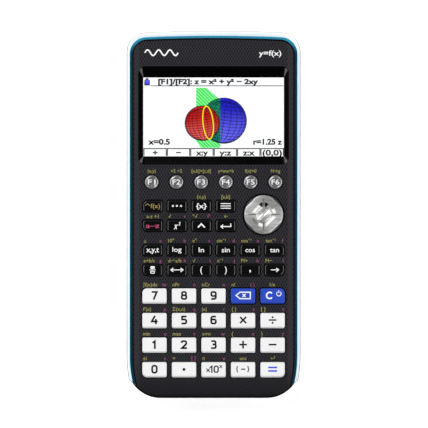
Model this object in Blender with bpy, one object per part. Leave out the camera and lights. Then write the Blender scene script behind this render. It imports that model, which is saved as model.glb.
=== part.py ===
"""Graphing calculator, lying on its back.

Lengths are in millimetres and angles in degrees; the objects are made in metres.
X runs across the calculator, Y from the keys towards the screen end, Z up out of
the keys. The origin is on the table, under the middle of the outline.
"""

import math

import bmesh
import bpy
from mathutils import Vector

MM = 0.001
GAP = 0.3

# Heights above the table
FOOT_BOTTOM = 0.0
BACK = 0.6
FLOOR = 2.2
CELL_Z = 7.0
BOARD_BOTTOM = 9.2
BOARD_TOP = 10.8
MAT_BOTTOM = 11.1
MAT_TOP = 12.0
DOME_TOP = 12.6
REAR_TOP = 12.6
SKIRT_BOTTOM = 12.9
ACCENT_TOP = 15.0
PANEL_UNDERSIDE = 15.6
PANEL_TOP = 17.4

# Outline of the body, seen from the front
REAR_SIDE = 44.5
REAR_TOP_EDGE = 94.25
REAR_CORNER = 8.6
ACCENT_SIDE = 43.05
ACCENT_TOP_EDGE = 92.0
ACCENT_CORNER = 7.4
FRONT_SIDE = 42.35
FRONT_TOP_EDGE = 90.6
FRONT_CORNER = 6.7
SKIRT_INSET = 1.0
SHELL_WALL = 1.8
ARCH_RADIUS = 810.0
FLANK_START = -73.0
FLANK_RADIUS = 65.0
JOIN_Y = -87.3
CHIN_X = 27.3
CHIN_Y = -76.75
CHIN_RADIUS = 17.5
REAR_CHIN_INSET = 0.6
REAR_JOIN_EASE = 2.2
BACK_ROUND_WIDTH = 3.4
BACK_ROUND_HEIGHT = 4.5

# Screen
OPENING_SIDE = 38.75
OPENING_BOTTOM = 25.6
OPENING_TOP = 76.2
OPENING_CORNER = 3.6
LIT_SIDE = 36.25
LIT_BOTTOM = 29.9
LIT_TOP = 70.5
LIT_CORNER = 0.3
SLOPE_BOTTOM = 16.3
WINDOW_POCKET = 15.9
WINDOW_TOP = 15.6
WINDOW_BOTTOM = 14.8
WINDOW_CORNER = 1.5
LCD_TOP = 14.5
LCD_BOTTOM = 13.1
LCD_MARGIN = 1.8
LCD_LENGTH = 46.0
LCD_OFFSET = -0.6

# Keys
KEY_FLANGE_TOP = 15.3
KEY_FLANGE_BOTTOM = 14.1
FLANGE_LIP = 0.8
HOLE_GAP = 0.4
NUMBER_SIZE = (12.6, 8.0)
NUMBER_PITCH = (15.2, 12.65)
NUMBER_TOP_ROW = -42.1
NUMBER_KEY_TOP = 18.6
DARK_SIZE = (10.0, 5.9)
DARK_PITCH = 12.55
DARK_ROWS = (4.2, -5.9, -18.4, -28.7)
DARK_KEY_TOP = 18.3
ROUND_KEY_RADIUS = 3.6
ROUND_PITCH = 12.74
ROUND_ROW = 16.6
ROUND_KEY_TOP = 18.3
CORNER = 0.9
CORNER_LARGE = 2.4

# Direction pad
PAD_X = 25.8
PAD_Y = -0.15
PAD_RADIUS = 10.2
PAD_HOLE = 10.85
PAD_FLANGE = 11.4
PAD_FLAT = 9.3
PAD_TOP = 18.4
PAD_FLANGE_BOTTOM = 14.2
PAD_FLANGE_TOP = 14.8
PAD_PIVOT_Z = 13.6
PAD_SWITCH_RADIUS = 8.0

# Key mat and circuit board
MAT_SIDE = 34.4
MAT_ENDS = (-84.4, 21.2)
DOME_FOOT_RADIUS = 2.4
DOME_CROWN_RADIUS = 1.5
BOARD_SIDE = 34.8
BOARD_ENDS = (-84.6, 90.0)
# Left, right, lower and upper edge of each chip, and how far it stands below the board
CHIPS = ((-9.0, 9.0, -30.0, -12.0, 1.4), (14.0, 24.0, -28.0, -16.0, 1.2), (-26.0, -18.0, -2.0, 6.0, 1.0))

# Cells and their compartment
CELL_RADIUS = 5.05
CELL_LENGTH = 43.7
CELL_NUB = 0.8
CELL_PITCH = 10.6
BAY_Y = 51.0
BAY_SIDE = 21.4
BAY_LENGTH = 50.0
BAY_CEILING = 12.3
BAY_WALL = 1.2
BAY_ROOF = 12.8
COVER_SIDE = 24.0
COVER_LENGTH = 55.2
COVER_THICKNESS = 1.0
COVER_SEAT = 1.9
HINGE_TABS = (-12.0, 12.0)
HINGE_TAB_SIDE = 3.0
HINGE_TAB_TOP = 3.4
LATCH_TAB_SIDE = 4.5
LATCH_TAB_TOP = 4.0
TAB_THICKNESS = 1.0
NOTCH_SIZE = (12.0, 4.0)
NOTCH_FROM_EDGE = 3.2
NOTCH_DEPTH = 0.5

# Screws, feet, restart hole, and the sockets in the top edge
SCREWS = ((37.6, 84.0), (37.6, -34.9), (30.0, -87.5))
FEET = ((29.0, 85.5), (33.0, -78.0))
SCREW_HEAD = 2.6
SCREW_SHANK = 1.3
SCREW_SEAT = 3.2
SCREW_POST_RADIUS = 3.3
SCREW_POST_TOP = 6.5
BOSS_RADIUS = 2.0
BOSS_BOTTOM = 6.9
BOSS_BORE = 0.9
FOOT_RADIUS = 4.0
RESTART_AT = (-30.0, 20.0)
RESTART_RADIUS = 0.9
SOCKET_X = 20.0
SOCKET_Z = 7.0
SOCKET_ENDS = (88.0, 96.0)
PORT_SIDE = 4.4
PORT_RISE = 2.4
JACK_RADIUS = 3.0
# Half width, inner end and depth below the socket's middle of each socket's shell on the board
PORT_SHELL = (3.9, 82.4, 2.0)
JACK_SHELL = (3.4, 81.0, 2.7)
SHELL_MOUTH = 90.6


# ---------------------------------------------------------------- outlines

def arc(cx, cy, radius, start, end, steps):
    """Points along an arc from start to end, both ends included."""
    points = []
    for i in range(steps + 1):
        a = math.radians(start + (end - start) * i / steps)
        points.append((cx + radius * math.cos(a), cy + radius * math.sin(a)))
    return points


def right_half(side, top, corner, chin, join, ease=0.0):
    """Right half of a body outline: the middle of the top to the flank's end at join, and the chin."""
    arch_y = top - ARCH_RADIUS
    corner_x = side - corner
    corner_y = arch_y + math.sqrt((ARCH_RADIUS - corner) ** 2 - corner_x ** 2)
    tangent = math.degrees(math.atan2(corner_y - arch_y, corner_x))
    flank_radius = FLANK_RADIUS + side - ACCENT_SIDE
    flank_angle = math.degrees(math.asin((FLANK_START - join - ease) / flank_radius))
    flank = arc(0.0, arch_y, ARCH_RADIUS, 90.0, tangent, 3)
    flank += arc(corner_x, corner_y, corner, tangent, 0.0, 6)[1:]
    flank += arc(side - flank_radius, FLANK_START, flank_radius, 0.0, -flank_angle, 4)
    if ease:
        flank.append((flank[-1][0] - ease, join))
    chin_angle = math.degrees(math.asin((CHIN_Y - join) / chin))
    below = arc(CHIN_X, CHIN_Y, chin, -chin_angle, -90.0, 6)
    below.append((0.0, CHIN_Y - chin))
    return flank, below


def body_outline(side, top, corner, chin, join, ease=0.0):
    flank, below = right_half(side, top, corner, chin, join, ease)
    right = flank + below
    left = [(-x, y) for x, y in reversed(right[1:-1])]
    return right + left


def rear_outline(inset):
    chin = CHIN_RADIUS - REAR_CHIN_INSET - inset
    return body_outline(REAR_SIDE - inset, REAR_TOP_EDGE - inset, REAR_CORNER - inset, chin,
                        JOIN_Y + inset / 2, REAR_JOIN_EASE)


def front_outline(inset):
    return body_outline(FRONT_SIDE - inset, FRONT_TOP_EDGE - inset, FRONT_CORNER - inset,
                        CHIN_RADIUS - inset, JOIN_Y - inset / 2)


def skirt_outline(inset):
    """The skirt stands inside the accent frame, and is flush with the face at the chin."""
    side = SKIRT_INSET + inset
    return body_outline(FRONT_SIDE - side, FRONT_TOP_EDGE - side, FRONT_CORNER - side,
                        CHIN_RADIUS - inset, JOIN_Y - side / 2)


def rounded_rect(width, height, radii, steps=2):
    """Rounded rectangle round the origin; radii run top right, top left, bottom left, bottom right."""
    points = []
    for i, (sx, sy) in enumerate(((1, 1), (-1, 1), (-1, -1), (1, -1))):
        r = radii[i]
        cx = sx * (width / 2 - r)
        cy = sy * (height / 2 - r)
        points += arc(cx, cy, r, 90.0 * i, 90.0 * (i + 1), steps)
    return points


def circle(radius, steps):
    return arc(0.0, 0.0, radius, 0.0, 360.0 * (steps - 1) / steps, steps - 1)


def clipped_circle(radius, flat, steps):
    """Circle with four flats across its diagonals, each at the distance flat from the middle."""
    points = []
    for i in range(steps):
        a = 2.0 * math.pi * i / steps
        off_diagonal = abs((a % (math.pi / 2)) - math.pi / 4)
        r = min(radius, flat / math.cos(off_diagonal))
        points.append((r * math.cos(a), r * math.sin(a)))
    return points


# ---------------------------------------------------------------- solids

def loft(sections, origin=(0.0, 0.0, 0.0)):
    """Closed mesh through sections, each an outline and its height, with both ends capped."""
    bm = bmesh.new()
    rings = []
    for outline, z in sections:
        ring = []
        for x, y in outline:
            ring.append(bm.verts.new(Vector((x - origin[0], y - origin[1], z - origin[2])) * MM))
        rings.append(ring)
    count = len(rings[0])
    for low, high in zip(rings, rings[1:]):
        for i in range(count):
            j = (i + 1) % count
            bm.faces.new((low[i], low[j], high[j], high[i]))
    bm.faces.new(list(reversed(rings[0])))
    bm.faces.new(rings[-1])
    bmesh.ops.remove_doubles(bm, verts=bm.verts, dist=1e-7)
    bmesh.ops.recalc_face_normals(bm, faces=bm.faces)
    return bm


def prism(outline, bottom, top, at=(0.0, 0.0), origin=(0.0, 0.0, 0.0)):
    moved = [(x + at[0], y + at[1]) for x, y in outline]
    return loft([(moved, bottom), (moved, top)], origin)


def box(x0, x1, y0, y1, z0, z1, origin=(0.0, 0.0, 0.0)):
    return prism([(x0, y0), (x1, y0), (x1, y1), (x0, y1)], z0, z1, origin=origin)


def rod_along_y(x, z, radii, steps, origin=(0.0, 0.0, 0.0)):
    """Turned piece along Y; radii are pairs of a y and the radius there."""
    bm = bmesh.new()
    rings = []
    for y, radius in radii:
        ring = []
        for cx, cz in circle(radius, steps):
            at = Vector((x + cx - origin[0], y - origin[1], z + cz - origin[2]))
            ring.append(bm.verts.new(at * MM))
        rings.append(ring)
    for low, high in zip(rings, rings[1:]):
        for i in range(steps):
            j = (i + 1) % steps
            bm.faces.new((low[i], low[j], high[j], high[i]))
    bm.faces.new(list(reversed(rings[0])))
    bm.faces.new(rings[-1])
    bmesh.ops.recalc_face_normals(bm, faces=bm.faces)
    return bm


def joined(solids):
    """One bmesh that holds several separate solids, for use as a cutter or an addition."""
    whole = bmesh.new()
    for bm in solids:
        mesh = bpy.data.meshes.new("piece")
        bm.to_mesh(mesh)
        bm.free()
        whole.from_mesh(mesh)
        bpy.data.meshes.remove(mesh)
    return whole


def add_object(name, bm, origin=(0.0, 0.0, 0.0), material=None):
    mesh = bpy.data.meshes.new(name)
    bm.to_mesh(mesh)
    bm.free()
    obj = bpy.data.objects.new(name, mesh)
    obj.location = Vector(origin) * MM
    bpy.context.scene.collection.objects.link(obj)
    if material:
        mesh.materials.append(material)
    return obj


def apply_tool(target, name, bm, operation):
    """Cut a solid out of target, or add it, with a tool object that stays hidden."""
    tool = add_object(name, bm)
    tool.hide_render = True
    tool.display_type = "WIRE"
    modifier = target.modifiers.new(name, "BOOLEAN")
    modifier.operation = operation
    modifier.solver = "EXACT"
    modifier.object = tool


def finish(name, color, roughness, metallic=0.0, transmission=0.0):
    material = bpy.data.materials.new(name)
    material.use_nodes = True
    shader = material.node_tree.nodes["Principled BSDF"]
    shader.inputs["Base Color"].default_value = (*color, 1.0)
    shader.inputs["Roughness"].default_value = roughness
    shader.inputs["Metallic"].default_value = metallic
    shader.inputs["Transmission Weight"].default_value = transmission
    return material


# ---------------------------------------------------------------- where the keys are

def outer_corners(large):
    """Four corner radii, with the large one at the corners named in large."""
    names = ("top_right", "top_left", "bottom_left", "bottom_right")
    return tuple(CORNER_LARGE if name in large else CORNER for name in names)


def number_keys():
    """Name, centre and corner radii of each key in the number block."""
    rows = (
        ("7", "8", "9", "delete", "clear"),
        ("4", "5", "6", "multiply", "divide"),
        ("1", "2", "3", "add", "subtract"),
        ("0", "point", "exponent", "negate", "execute"),
    )
    large = {"7": "top_left", "clear": "top_right", "0": "bottom_left", "execute": "bottom_right"}
    keys = []
    for r, row in enumerate(rows):
        for c, name in enumerate(row):
            at = ((c - 2) * NUMBER_PITCH[0], NUMBER_TOP_ROW - r * NUMBER_PITCH[1])
            keys.append(("key_" + name, at, outer_corners(large.get(name, ""))))
    return keys


def dark_keys():
    """Name, centre and corner radii of each dark key."""
    rows = (
        ("shift", "option", "variables", "menu"),
        ("alpha", "square", "power", "exit"),
        ("variable_x", "log", "ln", "sin", "cos", "tan"),
        ("fraction", "convert", "open_bracket", "close_bracket", "comma", "store"),
    )
    large = {
        "shift": "top_left", "alpha": "bottom_left", "variable_x": "top_left",
        "fraction": "bottom_left", "tan": "top_right", "store": "bottom_right",
    }
    keys = []
    for y, row in zip(DARK_ROWS, rows):
        for c, name in enumerate(row):
            at = ((c - 2.5) * DARK_PITCH, y)
            keys.append(("key_" + name, at, outer_corners(large.get(name, ""))))
    return keys


def round_keys():
    return [("key_f%d" % (i + 1), ((i - 2.5) * ROUND_PITCH, ROUND_ROW)) for i in range(6)]


def switch_centres():
    """Where a press closes a contact: under each key, and under the pad's four arms."""
    centres = [at for _, at, _ in number_keys() + dark_keys()]
    centres += [at for _, at in round_keys()]
    for i in range(4):
        a = math.pi / 2 * i
        centres.append((PAD_X + PAD_SWITCH_RADIUS * math.cos(a),
                        PAD_Y + PAD_SWITCH_RADIUS * math.sin(a)))
    return centres


# ---------------------------------------------------------------- the shells

def mirrored(points):
    return [(sign * x, y) for x, y in points for sign in (1, -1)]


def make_rear_case():
    sections = []
    for i in range(5):
        a = math.radians(90.0 * i / 4)
        inset = BACK_ROUND_WIDTH * (1.0 - math.sin(a))
        sections.append((rear_outline(inset), BACK + BACK_ROUND_HEIGHT * (1.0 - math.cos(a))))
    edge = 0.5
    sections += [
        (rear_outline(0.0), REAR_TOP - edge),
        (rear_outline(edge), REAR_TOP),
        (rear_outline(SHELL_WALL), REAR_TOP),
        (rear_outline(SHELL_WALL), FLOOR + BACK_ROUND_HEIGHT - 1.0),
        (rear_outline(SHELL_WALL + BACK_ROUND_WIDTH - 1.0), FLOOR),
    ]
    white = finish("white_shell", (0.85, 0.86, 0.87), 0.4)
    case = add_object("rear_case", loft(sections), material=white)

    bay_y0 = BAY_Y - BAY_LENGTH / 2
    bay_y1 = BAY_Y + BAY_LENGTH / 2
    within_floor = BACK + 0.7
    raised = [box(-BAY_SIDE - BAY_WALL, BAY_SIDE + BAY_WALL, bay_y0 - BAY_WALL, bay_y1 + BAY_WALL,
                  within_floor, BAY_ROOF)]
    for at in mirrored(SCREWS):
        raised.append(prism(circle(SCREW_POST_RADIUS, 12), within_floor, SCREW_POST_TOP, at))
    for at in mirrored(FEET):
        raised.append(prism(circle(FOOT_RADIUS, 16), FOOT_BOTTOM, BACK + 0.5, at))
    apply_tool(case, "rear_case_additions", joined(raised), "UNION")

    seat_x = COVER_SIDE + GAP
    seat_y = COVER_LENGTH / 2 + GAP
    below = BACK - 1.0
    cuts = [
        box(-seat_x, seat_x, BAY_Y - seat_y, BAY_Y + seat_y, below, COVER_SEAT),
        box(-SOCKET_X - PORT_SIDE, -SOCKET_X + PORT_SIDE, *SOCKET_ENDS,
            SOCKET_Z - PORT_RISE, SOCKET_Z + PORT_RISE),
        rod_along_y(SOCKET_X, SOCKET_Z, [(y, JACK_RADIUS) for y in SOCKET_ENDS], 12),
        prism(circle(RESTART_RADIUS, 8), below, FLOOR + 1.0, RESTART_AT),
    ]
    screw_hole = ((SCREW_HEAD, below), (SCREW_HEAD, SCREW_SEAT),
                  (SCREW_SHANK, SCREW_SEAT), (SCREW_SHANK, SCREW_POST_TOP + 1.0))
    for at in mirrored(SCREWS):
        cuts.append(loft([([(x + at[0], y + at[1]) for x, y in circle(r, 12)], z)
                          for r, z in screw_hole]))
    apply_tool(case, "rear_case_cuts", joined(cuts), "DIFFERENCE")
    bay = box(-BAY_SIDE, BAY_SIDE, bay_y0, bay_y1, BACK + 0.2, BAY_CEILING)
    apply_tool(case, "rear_case_bay", bay, "DIFFERENCE")


def make_accent_frame():
    """A band open at the chin: a rectangular section carried round the top and both flanks."""
    def course(inset_side, inset_top):
        flank, _ = right_half(ACCENT_SIDE - inset_side, ACCENT_TOP_EDGE - inset_top,
                              ACCENT_CORNER - inset_side, CHIN_RADIUS, JOIN_Y + GAP)
        return list(reversed(flank)) + [(-x, y) for x, y in flank[1:]]

    inner_side = ACCENT_SIDE - FRONT_SIDE + SKIRT_INSET - GAP
    inner_top = ACCENT_TOP_EDGE - FRONT_TOP_EDGE + SKIRT_INSET - GAP
    soften = 0.25
    section = (
        (course(0.0, 0.0), SKIRT_BOTTOM),
        (course(0.0, 0.0), ACCENT_TOP - soften),
        (course(soften, soften), ACCENT_TOP),
        (course(inner_side, inner_top), ACCENT_TOP),
        (course(inner_side, inner_top), SKIRT_BOTTOM),
    )
    bm = bmesh.new()
    lines = [[bm.verts.new(Vector((x, y, z)) * MM) for x, y in points] for points, z in section]
    corners = len(lines)
    for k in range(corners):
        first = lines[k]
        second = lines[(k + 1) % corners]
        for i in range(len(first) - 1):
            bm.faces.new((first[i], first[i + 1], second[i + 1], second[i]))
    bm.faces.new([line[0] for line in lines])
    bm.faces.new([line[-1] for line in reversed(lines)])
    bmesh.ops.recalc_face_normals(bm, faces=bm.faces)
    add_object("accent_frame", bm, material=finish("blue_accent", (0.02, 0.25, 0.40), 0.35))


def screen_slope():
    """Cutter for the screen surround: wide at the face, narrow over the lit area."""
    def rectangle(side, bottom, top, radius):
        middle = (bottom + top) / 2
        points = rounded_rect(2 * side, top - bottom, (radius,) * 4, 3)
        return [(x, y + middle) for x, y in points]

    above = 0.5
    further = 1.0 + above / (PANEL_TOP - SLOPE_BOTTOM)
    side = LIT_SIDE + (OPENING_SIDE - LIT_SIDE) * further
    bottom = LIT_BOTTOM + (OPENING_BOTTOM - LIT_BOTTOM) * further
    top = LIT_TOP + (OPENING_TOP - LIT_TOP) * further
    lit = rectangle(LIT_SIDE, LIT_BOTTOM, LIT_TOP, LIT_CORNER)
    wide = rectangle(side, bottom, top, LIT_CORNER + (OPENING_CORNER - LIT_CORNER) * further)
    return loft([(lit, PANEL_UNDERSIDE - 1.0), (lit, SLOPE_BOTTOM), (wide, PANEL_TOP + above)])


def make_front_case():
    edge = 0.6
    sections = [
        (front_outline(edge), PANEL_TOP),
        (front_outline(edge * 0.3), PANEL_TOP - edge * 0.3),
        (front_outline(0.0), PANEL_TOP - edge),
        (front_outline(0.0), ACCENT_TOP + GAP),
        (skirt_outline(0.0), ACCENT_TOP + GAP),
        (skirt_outline(0.0), SKIRT_BOTTOM),
        (skirt_outline(1.2), SKIRT_BOTTOM),
        (skirt_outline(1.2), PANEL_UNDERSIDE),
    ]
    dark = finish("dark_shell", (0.035, 0.035, 0.04), 0.5)
    case = add_object("front_case", loft(sections), material=dark)

    bosses = [prism(circle(BOSS_RADIUS, 10), BOSS_BOTTOM, PANEL_UNDERSIDE + 0.6, at)
              for at in mirrored(SCREWS)]
    apply_tool(case, "front_case_bosses", joined(bosses), "UNION")

    low = PANEL_UNDERSIDE - 1.0
    high = PANEL_TOP + 1.0
    cuts = [screen_slope(), prism(circle(PAD_HOLE, 32), low, high, (PAD_X, PAD_Y))]
    for size, keys in ((NUMBER_SIZE, number_keys()), (DARK_SIZE, dark_keys())):
        for _, at, corners in keys:
            grown = [r + HOLE_GAP for r in corners]
            hole = rounded_rect(size[0] + 2 * HOLE_GAP, size[1] + 2 * HOLE_GAP, grown)
            cuts.append(prism(hole, low, high, at))
    for _, at in round_keys():
        hole = circle(ROUND_KEY_RADIUS + HOLE_GAP, 16)
        cuts.append(prism(hole, low, high, at))
    for at in mirrored(SCREWS):
        cuts.append(prism(circle(BOSS_BORE, 8), BOSS_BOTTOM - 1.9, SKIRT_BOTTOM + 0.1, at))
    apply_tool(case, "front_case_openings", joined(cuts), "DIFFERENCE")

    pocket = prism(window_outline(GAP), low, WINDOW_POCKET)
    apply_tool(case, "front_case_window_seat", pocket, "DIFFERENCE")


def window_outline(grow):
    """The window reaches a little under the face all round the opening."""
    margin = 0.6 + grow
    middle = (OPENING_BOTTOM + OPENING_TOP) / 2
    width = 2 * (OPENING_SIDE + margin)
    height = OPENING_TOP - OPENING_BOTTOM + 2 * margin
    return [(x, y + middle) for x, y in rounded_rect(width, height, (WINDOW_CORNER,) * 4, 3)]


def make_screen():
    glass = finish("clear_window", (0.9, 0.93, 0.95), 0.05, transmission=0.9)
    add_object("screen_window", prism(window_outline(0.0), WINDOW_BOTTOM, WINDOW_TOP), material=glass)
    lcd = prism(rounded_rect(2 * (LIT_SIDE + LCD_MARGIN), LCD_LENGTH, (0.8,) * 4),
                LCD_BOTTOM, LCD_TOP, (0.0, (LIT_BOTTOM + LIT_TOP) / 2 + LCD_OFFSET))
    add_object("lcd_module", lcd, material=finish("lcd_panel", (0.8, 0.82, 0.84), 0.3))


# ---------------------------------------------------------------- keys and pad

def key_solid(size, corners, top, at):
    """Cap with a softened top edge, on a flange that stays under the front case."""
    def outline(inset):
        radii = [max(r - inset, 0.25) for r in corners]
        points = rounded_rect(size[0] - 2 * inset, size[1] - 2 * inset, radii)
        return [(x + at[0], y + at[1]) for x, y in points]

    edge = 0.55
    sections = [
        (outline(-FLANGE_LIP), KEY_FLANGE_BOTTOM),
        (outline(-FLANGE_LIP), KEY_FLANGE_TOP),
        (outline(0.0), KEY_FLANGE_TOP),
        (outline(0.0), top - edge),
        (outline(edge), top),
    ]
    return loft(sections, (*at, PANEL_TOP))


def round_key_solid(at):
    def outline(radius):
        return [(x + at[0], y + at[1]) for x, y in circle(radius, 16)]

    r = ROUND_KEY_RADIUS
    sections = [
        (outline(r + FLANGE_LIP), KEY_FLANGE_BOTTOM),
        (outline(r + FLANGE_LIP), KEY_FLANGE_TOP),
        (outline(r), KEY_FLANGE_TOP),
        (outline(r), PANEL_TOP),
        (outline(r * 0.75), ROUND_KEY_TOP - 0.25),
        (outline(r * 0.35), ROUND_KEY_TOP),
    ]
    return loft(sections, (*at, PANEL_TOP))


def make_keys():
    white = (0.88, 0.88, 0.88)
    blue = (0.03, 0.08, 0.55)
    for name, at, corners in number_keys():
        color = blue if name in ("key_delete", "key_clear") else white
        bm = key_solid(NUMBER_SIZE, corners, NUMBER_KEY_TOP, at)
        add_object(name, bm, (*at, PANEL_TOP), finish(name + "_plastic", color, 0.35))
    for name, at, corners in dark_keys():
        bm = key_solid(DARK_SIZE, corners, DARK_KEY_TOP, at)
        add_object(name, bm, (*at, PANEL_TOP), finish(name + "_plastic", (0.02, 0.02, 0.022), 0.25))
    for name, at in round_keys():
        add_object(name, round_key_solid(at), (*at, PANEL_TOP),
                   finish(name + "_plating", (0.5, 0.5, 0.5), 0.3, metallic=0.8))


def make_pad():
    steps = 32
    origin = (PAD_X, PAD_Y, PAD_PIVOT_Z)

    def disc(radius):
        return [(x + PAD_X, y + PAD_Y) for x, y in circle(radius, steps)]

    def clipped(radius, flat):
        return [(x + PAD_X, y + PAD_Y) for x, y in clipped_circle(radius, flat, steps)]

    ledge = PAD_TOP - 0.8
    sections = [
        (disc(PAD_FLANGE), PAD_FLANGE_BOTTOM),
        (disc(PAD_FLANGE), PAD_FLANGE_TOP),
        (disc(PAD_RADIUS), PAD_FLANGE_TOP),
        (disc(PAD_RADIUS), ledge),
        (clipped(PAD_RADIUS - 0.1, PAD_FLAT), ledge + 0.1),
        (clipped(PAD_RADIUS - 0.1, PAD_FLAT), PAD_TOP - 0.35),
        (clipped(PAD_RADIUS - 0.8, PAD_FLAT - 0.5), PAD_TOP),
    ]
    add_object("direction_pad", loft(sections, origin), origin,
               finish("pad_plating", (0.65, 0.65, 0.65), 0.3, metallic=0.8))
    pivot = prism(circle(1.8, 12), PAD_PIVOT_Z - 1.2, PAD_FLANGE_BOTTOM - GAP, (PAD_X, PAD_Y), origin)
    add_object("direction_pad_pivot", pivot, origin, finish("pivot_plastic", (0.1, 0.1, 0.1), 0.5))


# ---------------------------------------------------------------- inside

def make_key_mat():
    mat = add_object("key_mat", box(-MAT_SIDE, MAT_SIDE, *MAT_ENDS, MAT_BOTTOM, MAT_TOP),
                     material=finish("mat_rubber", (0.55, 0.57, 0.6), 0.8))
    domes = []
    for at in switch_centres():
        foot = [(x + at[0], y + at[1]) for x, y in circle(DOME_FOOT_RADIUS, 6)]
        crown = [(x + at[0], y + at[1]) for x, y in circle(DOME_CROWN_RADIUS, 6)]
        domes.append(loft([(foot, MAT_TOP - 0.3), (crown, DOME_TOP)]))
    apply_tool(mat, "key_mat_domes", joined(domes), "UNION")


def make_main_board():
    board = add_object("main_board", box(-BOARD_SIDE, BOARD_SIDE, *BOARD_ENDS, BOARD_BOTTOM, BOARD_TOP),
                       material=finish("board_laminate", (0.02, 0.2, 0.08), 0.5))
    within = BOARD_BOTTOM + 0.4
    parts = []
    for left, right, low, high, depth in CHIPS:
        parts.append(box(left, right, low, high, BOARD_BOTTOM - depth, within))
    for x, (side, inner_end, depth) in ((-SOCKET_X, PORT_SHELL), (SOCKET_X, JACK_SHELL)):
        parts.append(box(x - side, x + side, inner_end, SHELL_MOUTH, SOCKET_Z - depth, within))
    apply_tool(board, "main_board_parts", joined(parts), "UNION")
    clear = BAY_WALL + 0.8
    bay = box(-BAY_SIDE - clear, BAY_SIDE + clear, BAY_Y - BAY_LENGTH / 2 - clear,
              BAY_Y + BAY_LENGTH / 2 + clear, BOARD_BOTTOM - 2.0, BOARD_TOP + 2.0)
    apply_tool(board, "main_board_bay", bay, "DIFFERENCE")


def make_cells():
    """Four cells side by side, each next one turned round."""
    for i in range(4):
        x = (i - 1.5) * CELL_PITCH
        way = 1 if i % 2 == 0 else -1
        start = BAY_Y - way * (CELL_LENGTH + CELL_NUB) / 2
        profile = (
            (0.0, CELL_RADIUS - 0.3), (0.3, CELL_RADIUS), (CELL_LENGTH - 0.3, CELL_RADIUS),
            (CELL_LENGTH, CELL_RADIUS - 0.3), (CELL_LENGTH, 1.9), (CELL_LENGTH + CELL_NUB, 1.9),
        )
        radii = [(start + way * y, r) for y, r in profile]
        add_object("aaa_cell_%d" % (i + 1), rod_along_y(x, CELL_Z, radii, 16),
                   material=finish("cell_sleeve_%d" % (i + 1), (0.25, 0.27, 0.3), 0.35))


def make_battery_cover():
    hinge_y = BAY_Y - COVER_LENGTH / 2
    origin = (0.0, hinge_y, BACK)
    plate = rounded_rect(2 * COVER_SIDE, COVER_LENGTH, (1.0,) * 4)
    bm = prism(plate, BACK, BACK + COVER_THICKNESS, (0.0, BAY_Y), origin)
    cover = add_object("battery_cover", bm, origin, finish("cover_plastic", (0.85, 0.86, 0.87), 0.4))
    within = BACK + COVER_THICKNESS - 0.4
    hinge_end = BAY_Y - BAY_LENGTH / 2 + 0.5
    latch_end = BAY_Y + BAY_LENGTH / 2 - 0.6
    tabs = [box(x - HINGE_TAB_SIDE, x + HINGE_TAB_SIDE, hinge_end, hinge_end + TAB_THICKNESS,
                within, HINGE_TAB_TOP) for x in HINGE_TABS]
    tabs.append(box(-LATCH_TAB_SIDE, LATCH_TAB_SIDE, latch_end - TAB_THICKNESS, latch_end,
                    within, LATCH_TAB_TOP))
    apply_tool(cover, "battery_cover_tabs", joined(tabs), "UNION")
    notch_y = BAY_Y + COVER_LENGTH / 2 - NOTCH_FROM_EDGE
    notch = prism(rounded_rect(*NOTCH_SIZE, (1.9,) * 4, 4), BACK - 1.0, BACK + NOTCH_DEPTH,
                  (0.0, notch_y))
    apply_tool(cover, "battery_cover_notch", notch, "DIFFERENCE")


def main():
    for obj in list(bpy.data.objects):
        bpy.data.objects.remove(obj)
    make_rear_case()
    make_accent_frame()
    make_front_case()
    make_screen()
    make_keys()
    make_pad()
    make_key_mat()
    make_main_board()
    make_cells()
    make_battery_cover()


main()
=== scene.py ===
"""Looks of the graphing calculator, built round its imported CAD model.

Lengths are in millimetres and angles in degrees, in the CAD model's own frame:
X across the calculator, Y from the keys towards the screen end, Z up out of the
keys. Meshes are made in metres. Each moving piece rides on its CAD body.
"""

import math

import bmesh
import bpy
from mathutils import Matrix, Vector


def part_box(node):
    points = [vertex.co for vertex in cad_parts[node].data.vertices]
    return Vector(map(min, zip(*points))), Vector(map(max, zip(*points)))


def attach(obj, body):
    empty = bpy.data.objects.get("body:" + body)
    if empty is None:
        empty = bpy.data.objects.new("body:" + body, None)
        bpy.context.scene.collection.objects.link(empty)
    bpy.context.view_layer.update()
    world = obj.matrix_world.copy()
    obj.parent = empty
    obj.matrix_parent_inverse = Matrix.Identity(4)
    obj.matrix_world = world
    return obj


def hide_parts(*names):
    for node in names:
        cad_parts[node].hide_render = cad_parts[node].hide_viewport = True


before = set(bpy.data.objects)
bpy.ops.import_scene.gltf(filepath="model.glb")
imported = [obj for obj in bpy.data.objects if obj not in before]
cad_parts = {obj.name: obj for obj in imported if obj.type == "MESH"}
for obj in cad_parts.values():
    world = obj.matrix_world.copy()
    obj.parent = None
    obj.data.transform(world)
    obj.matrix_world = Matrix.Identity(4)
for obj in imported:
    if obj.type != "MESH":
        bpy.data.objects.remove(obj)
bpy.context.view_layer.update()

MM = 0.001
GAP = 0.3


def box_mm(node):
    """Lowest and highest corner of a CAD node, in millimetres."""
    low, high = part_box(node)
    return low / MM, high / MM


def middle_mm(node):
    """Middle of a CAD node seen from above."""
    low, high = box_mm(node)
    return (low.x + high.x) / 2, (low.y + high.y) / 2


# Heights, read from the frame
PANEL_TOP = box_mm("front_case")[1].z
SKIRT_BOTTOM = box_mm("accent_frame")[0].z
ACCENT_TOP = box_mm("accent_frame")[1].z
WINDOW_BOTTOM = box_mm("screen_window")[0].z
WINDOW_TOP = box_mm("screen_window")[1].z
LCD_TOP = box_mm("lcd_module")[1].z
BACK = box_mm("battery_cover")[0].z
REAR_TOP = SKIRT_BOTTOM - GAP
PANEL_UNDERSIDE = WINDOW_TOP
WINDOW_POCKET = WINDOW_TOP + GAP
SLOPE_BOTTOM = WINDOW_POCKET + 0.4

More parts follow.
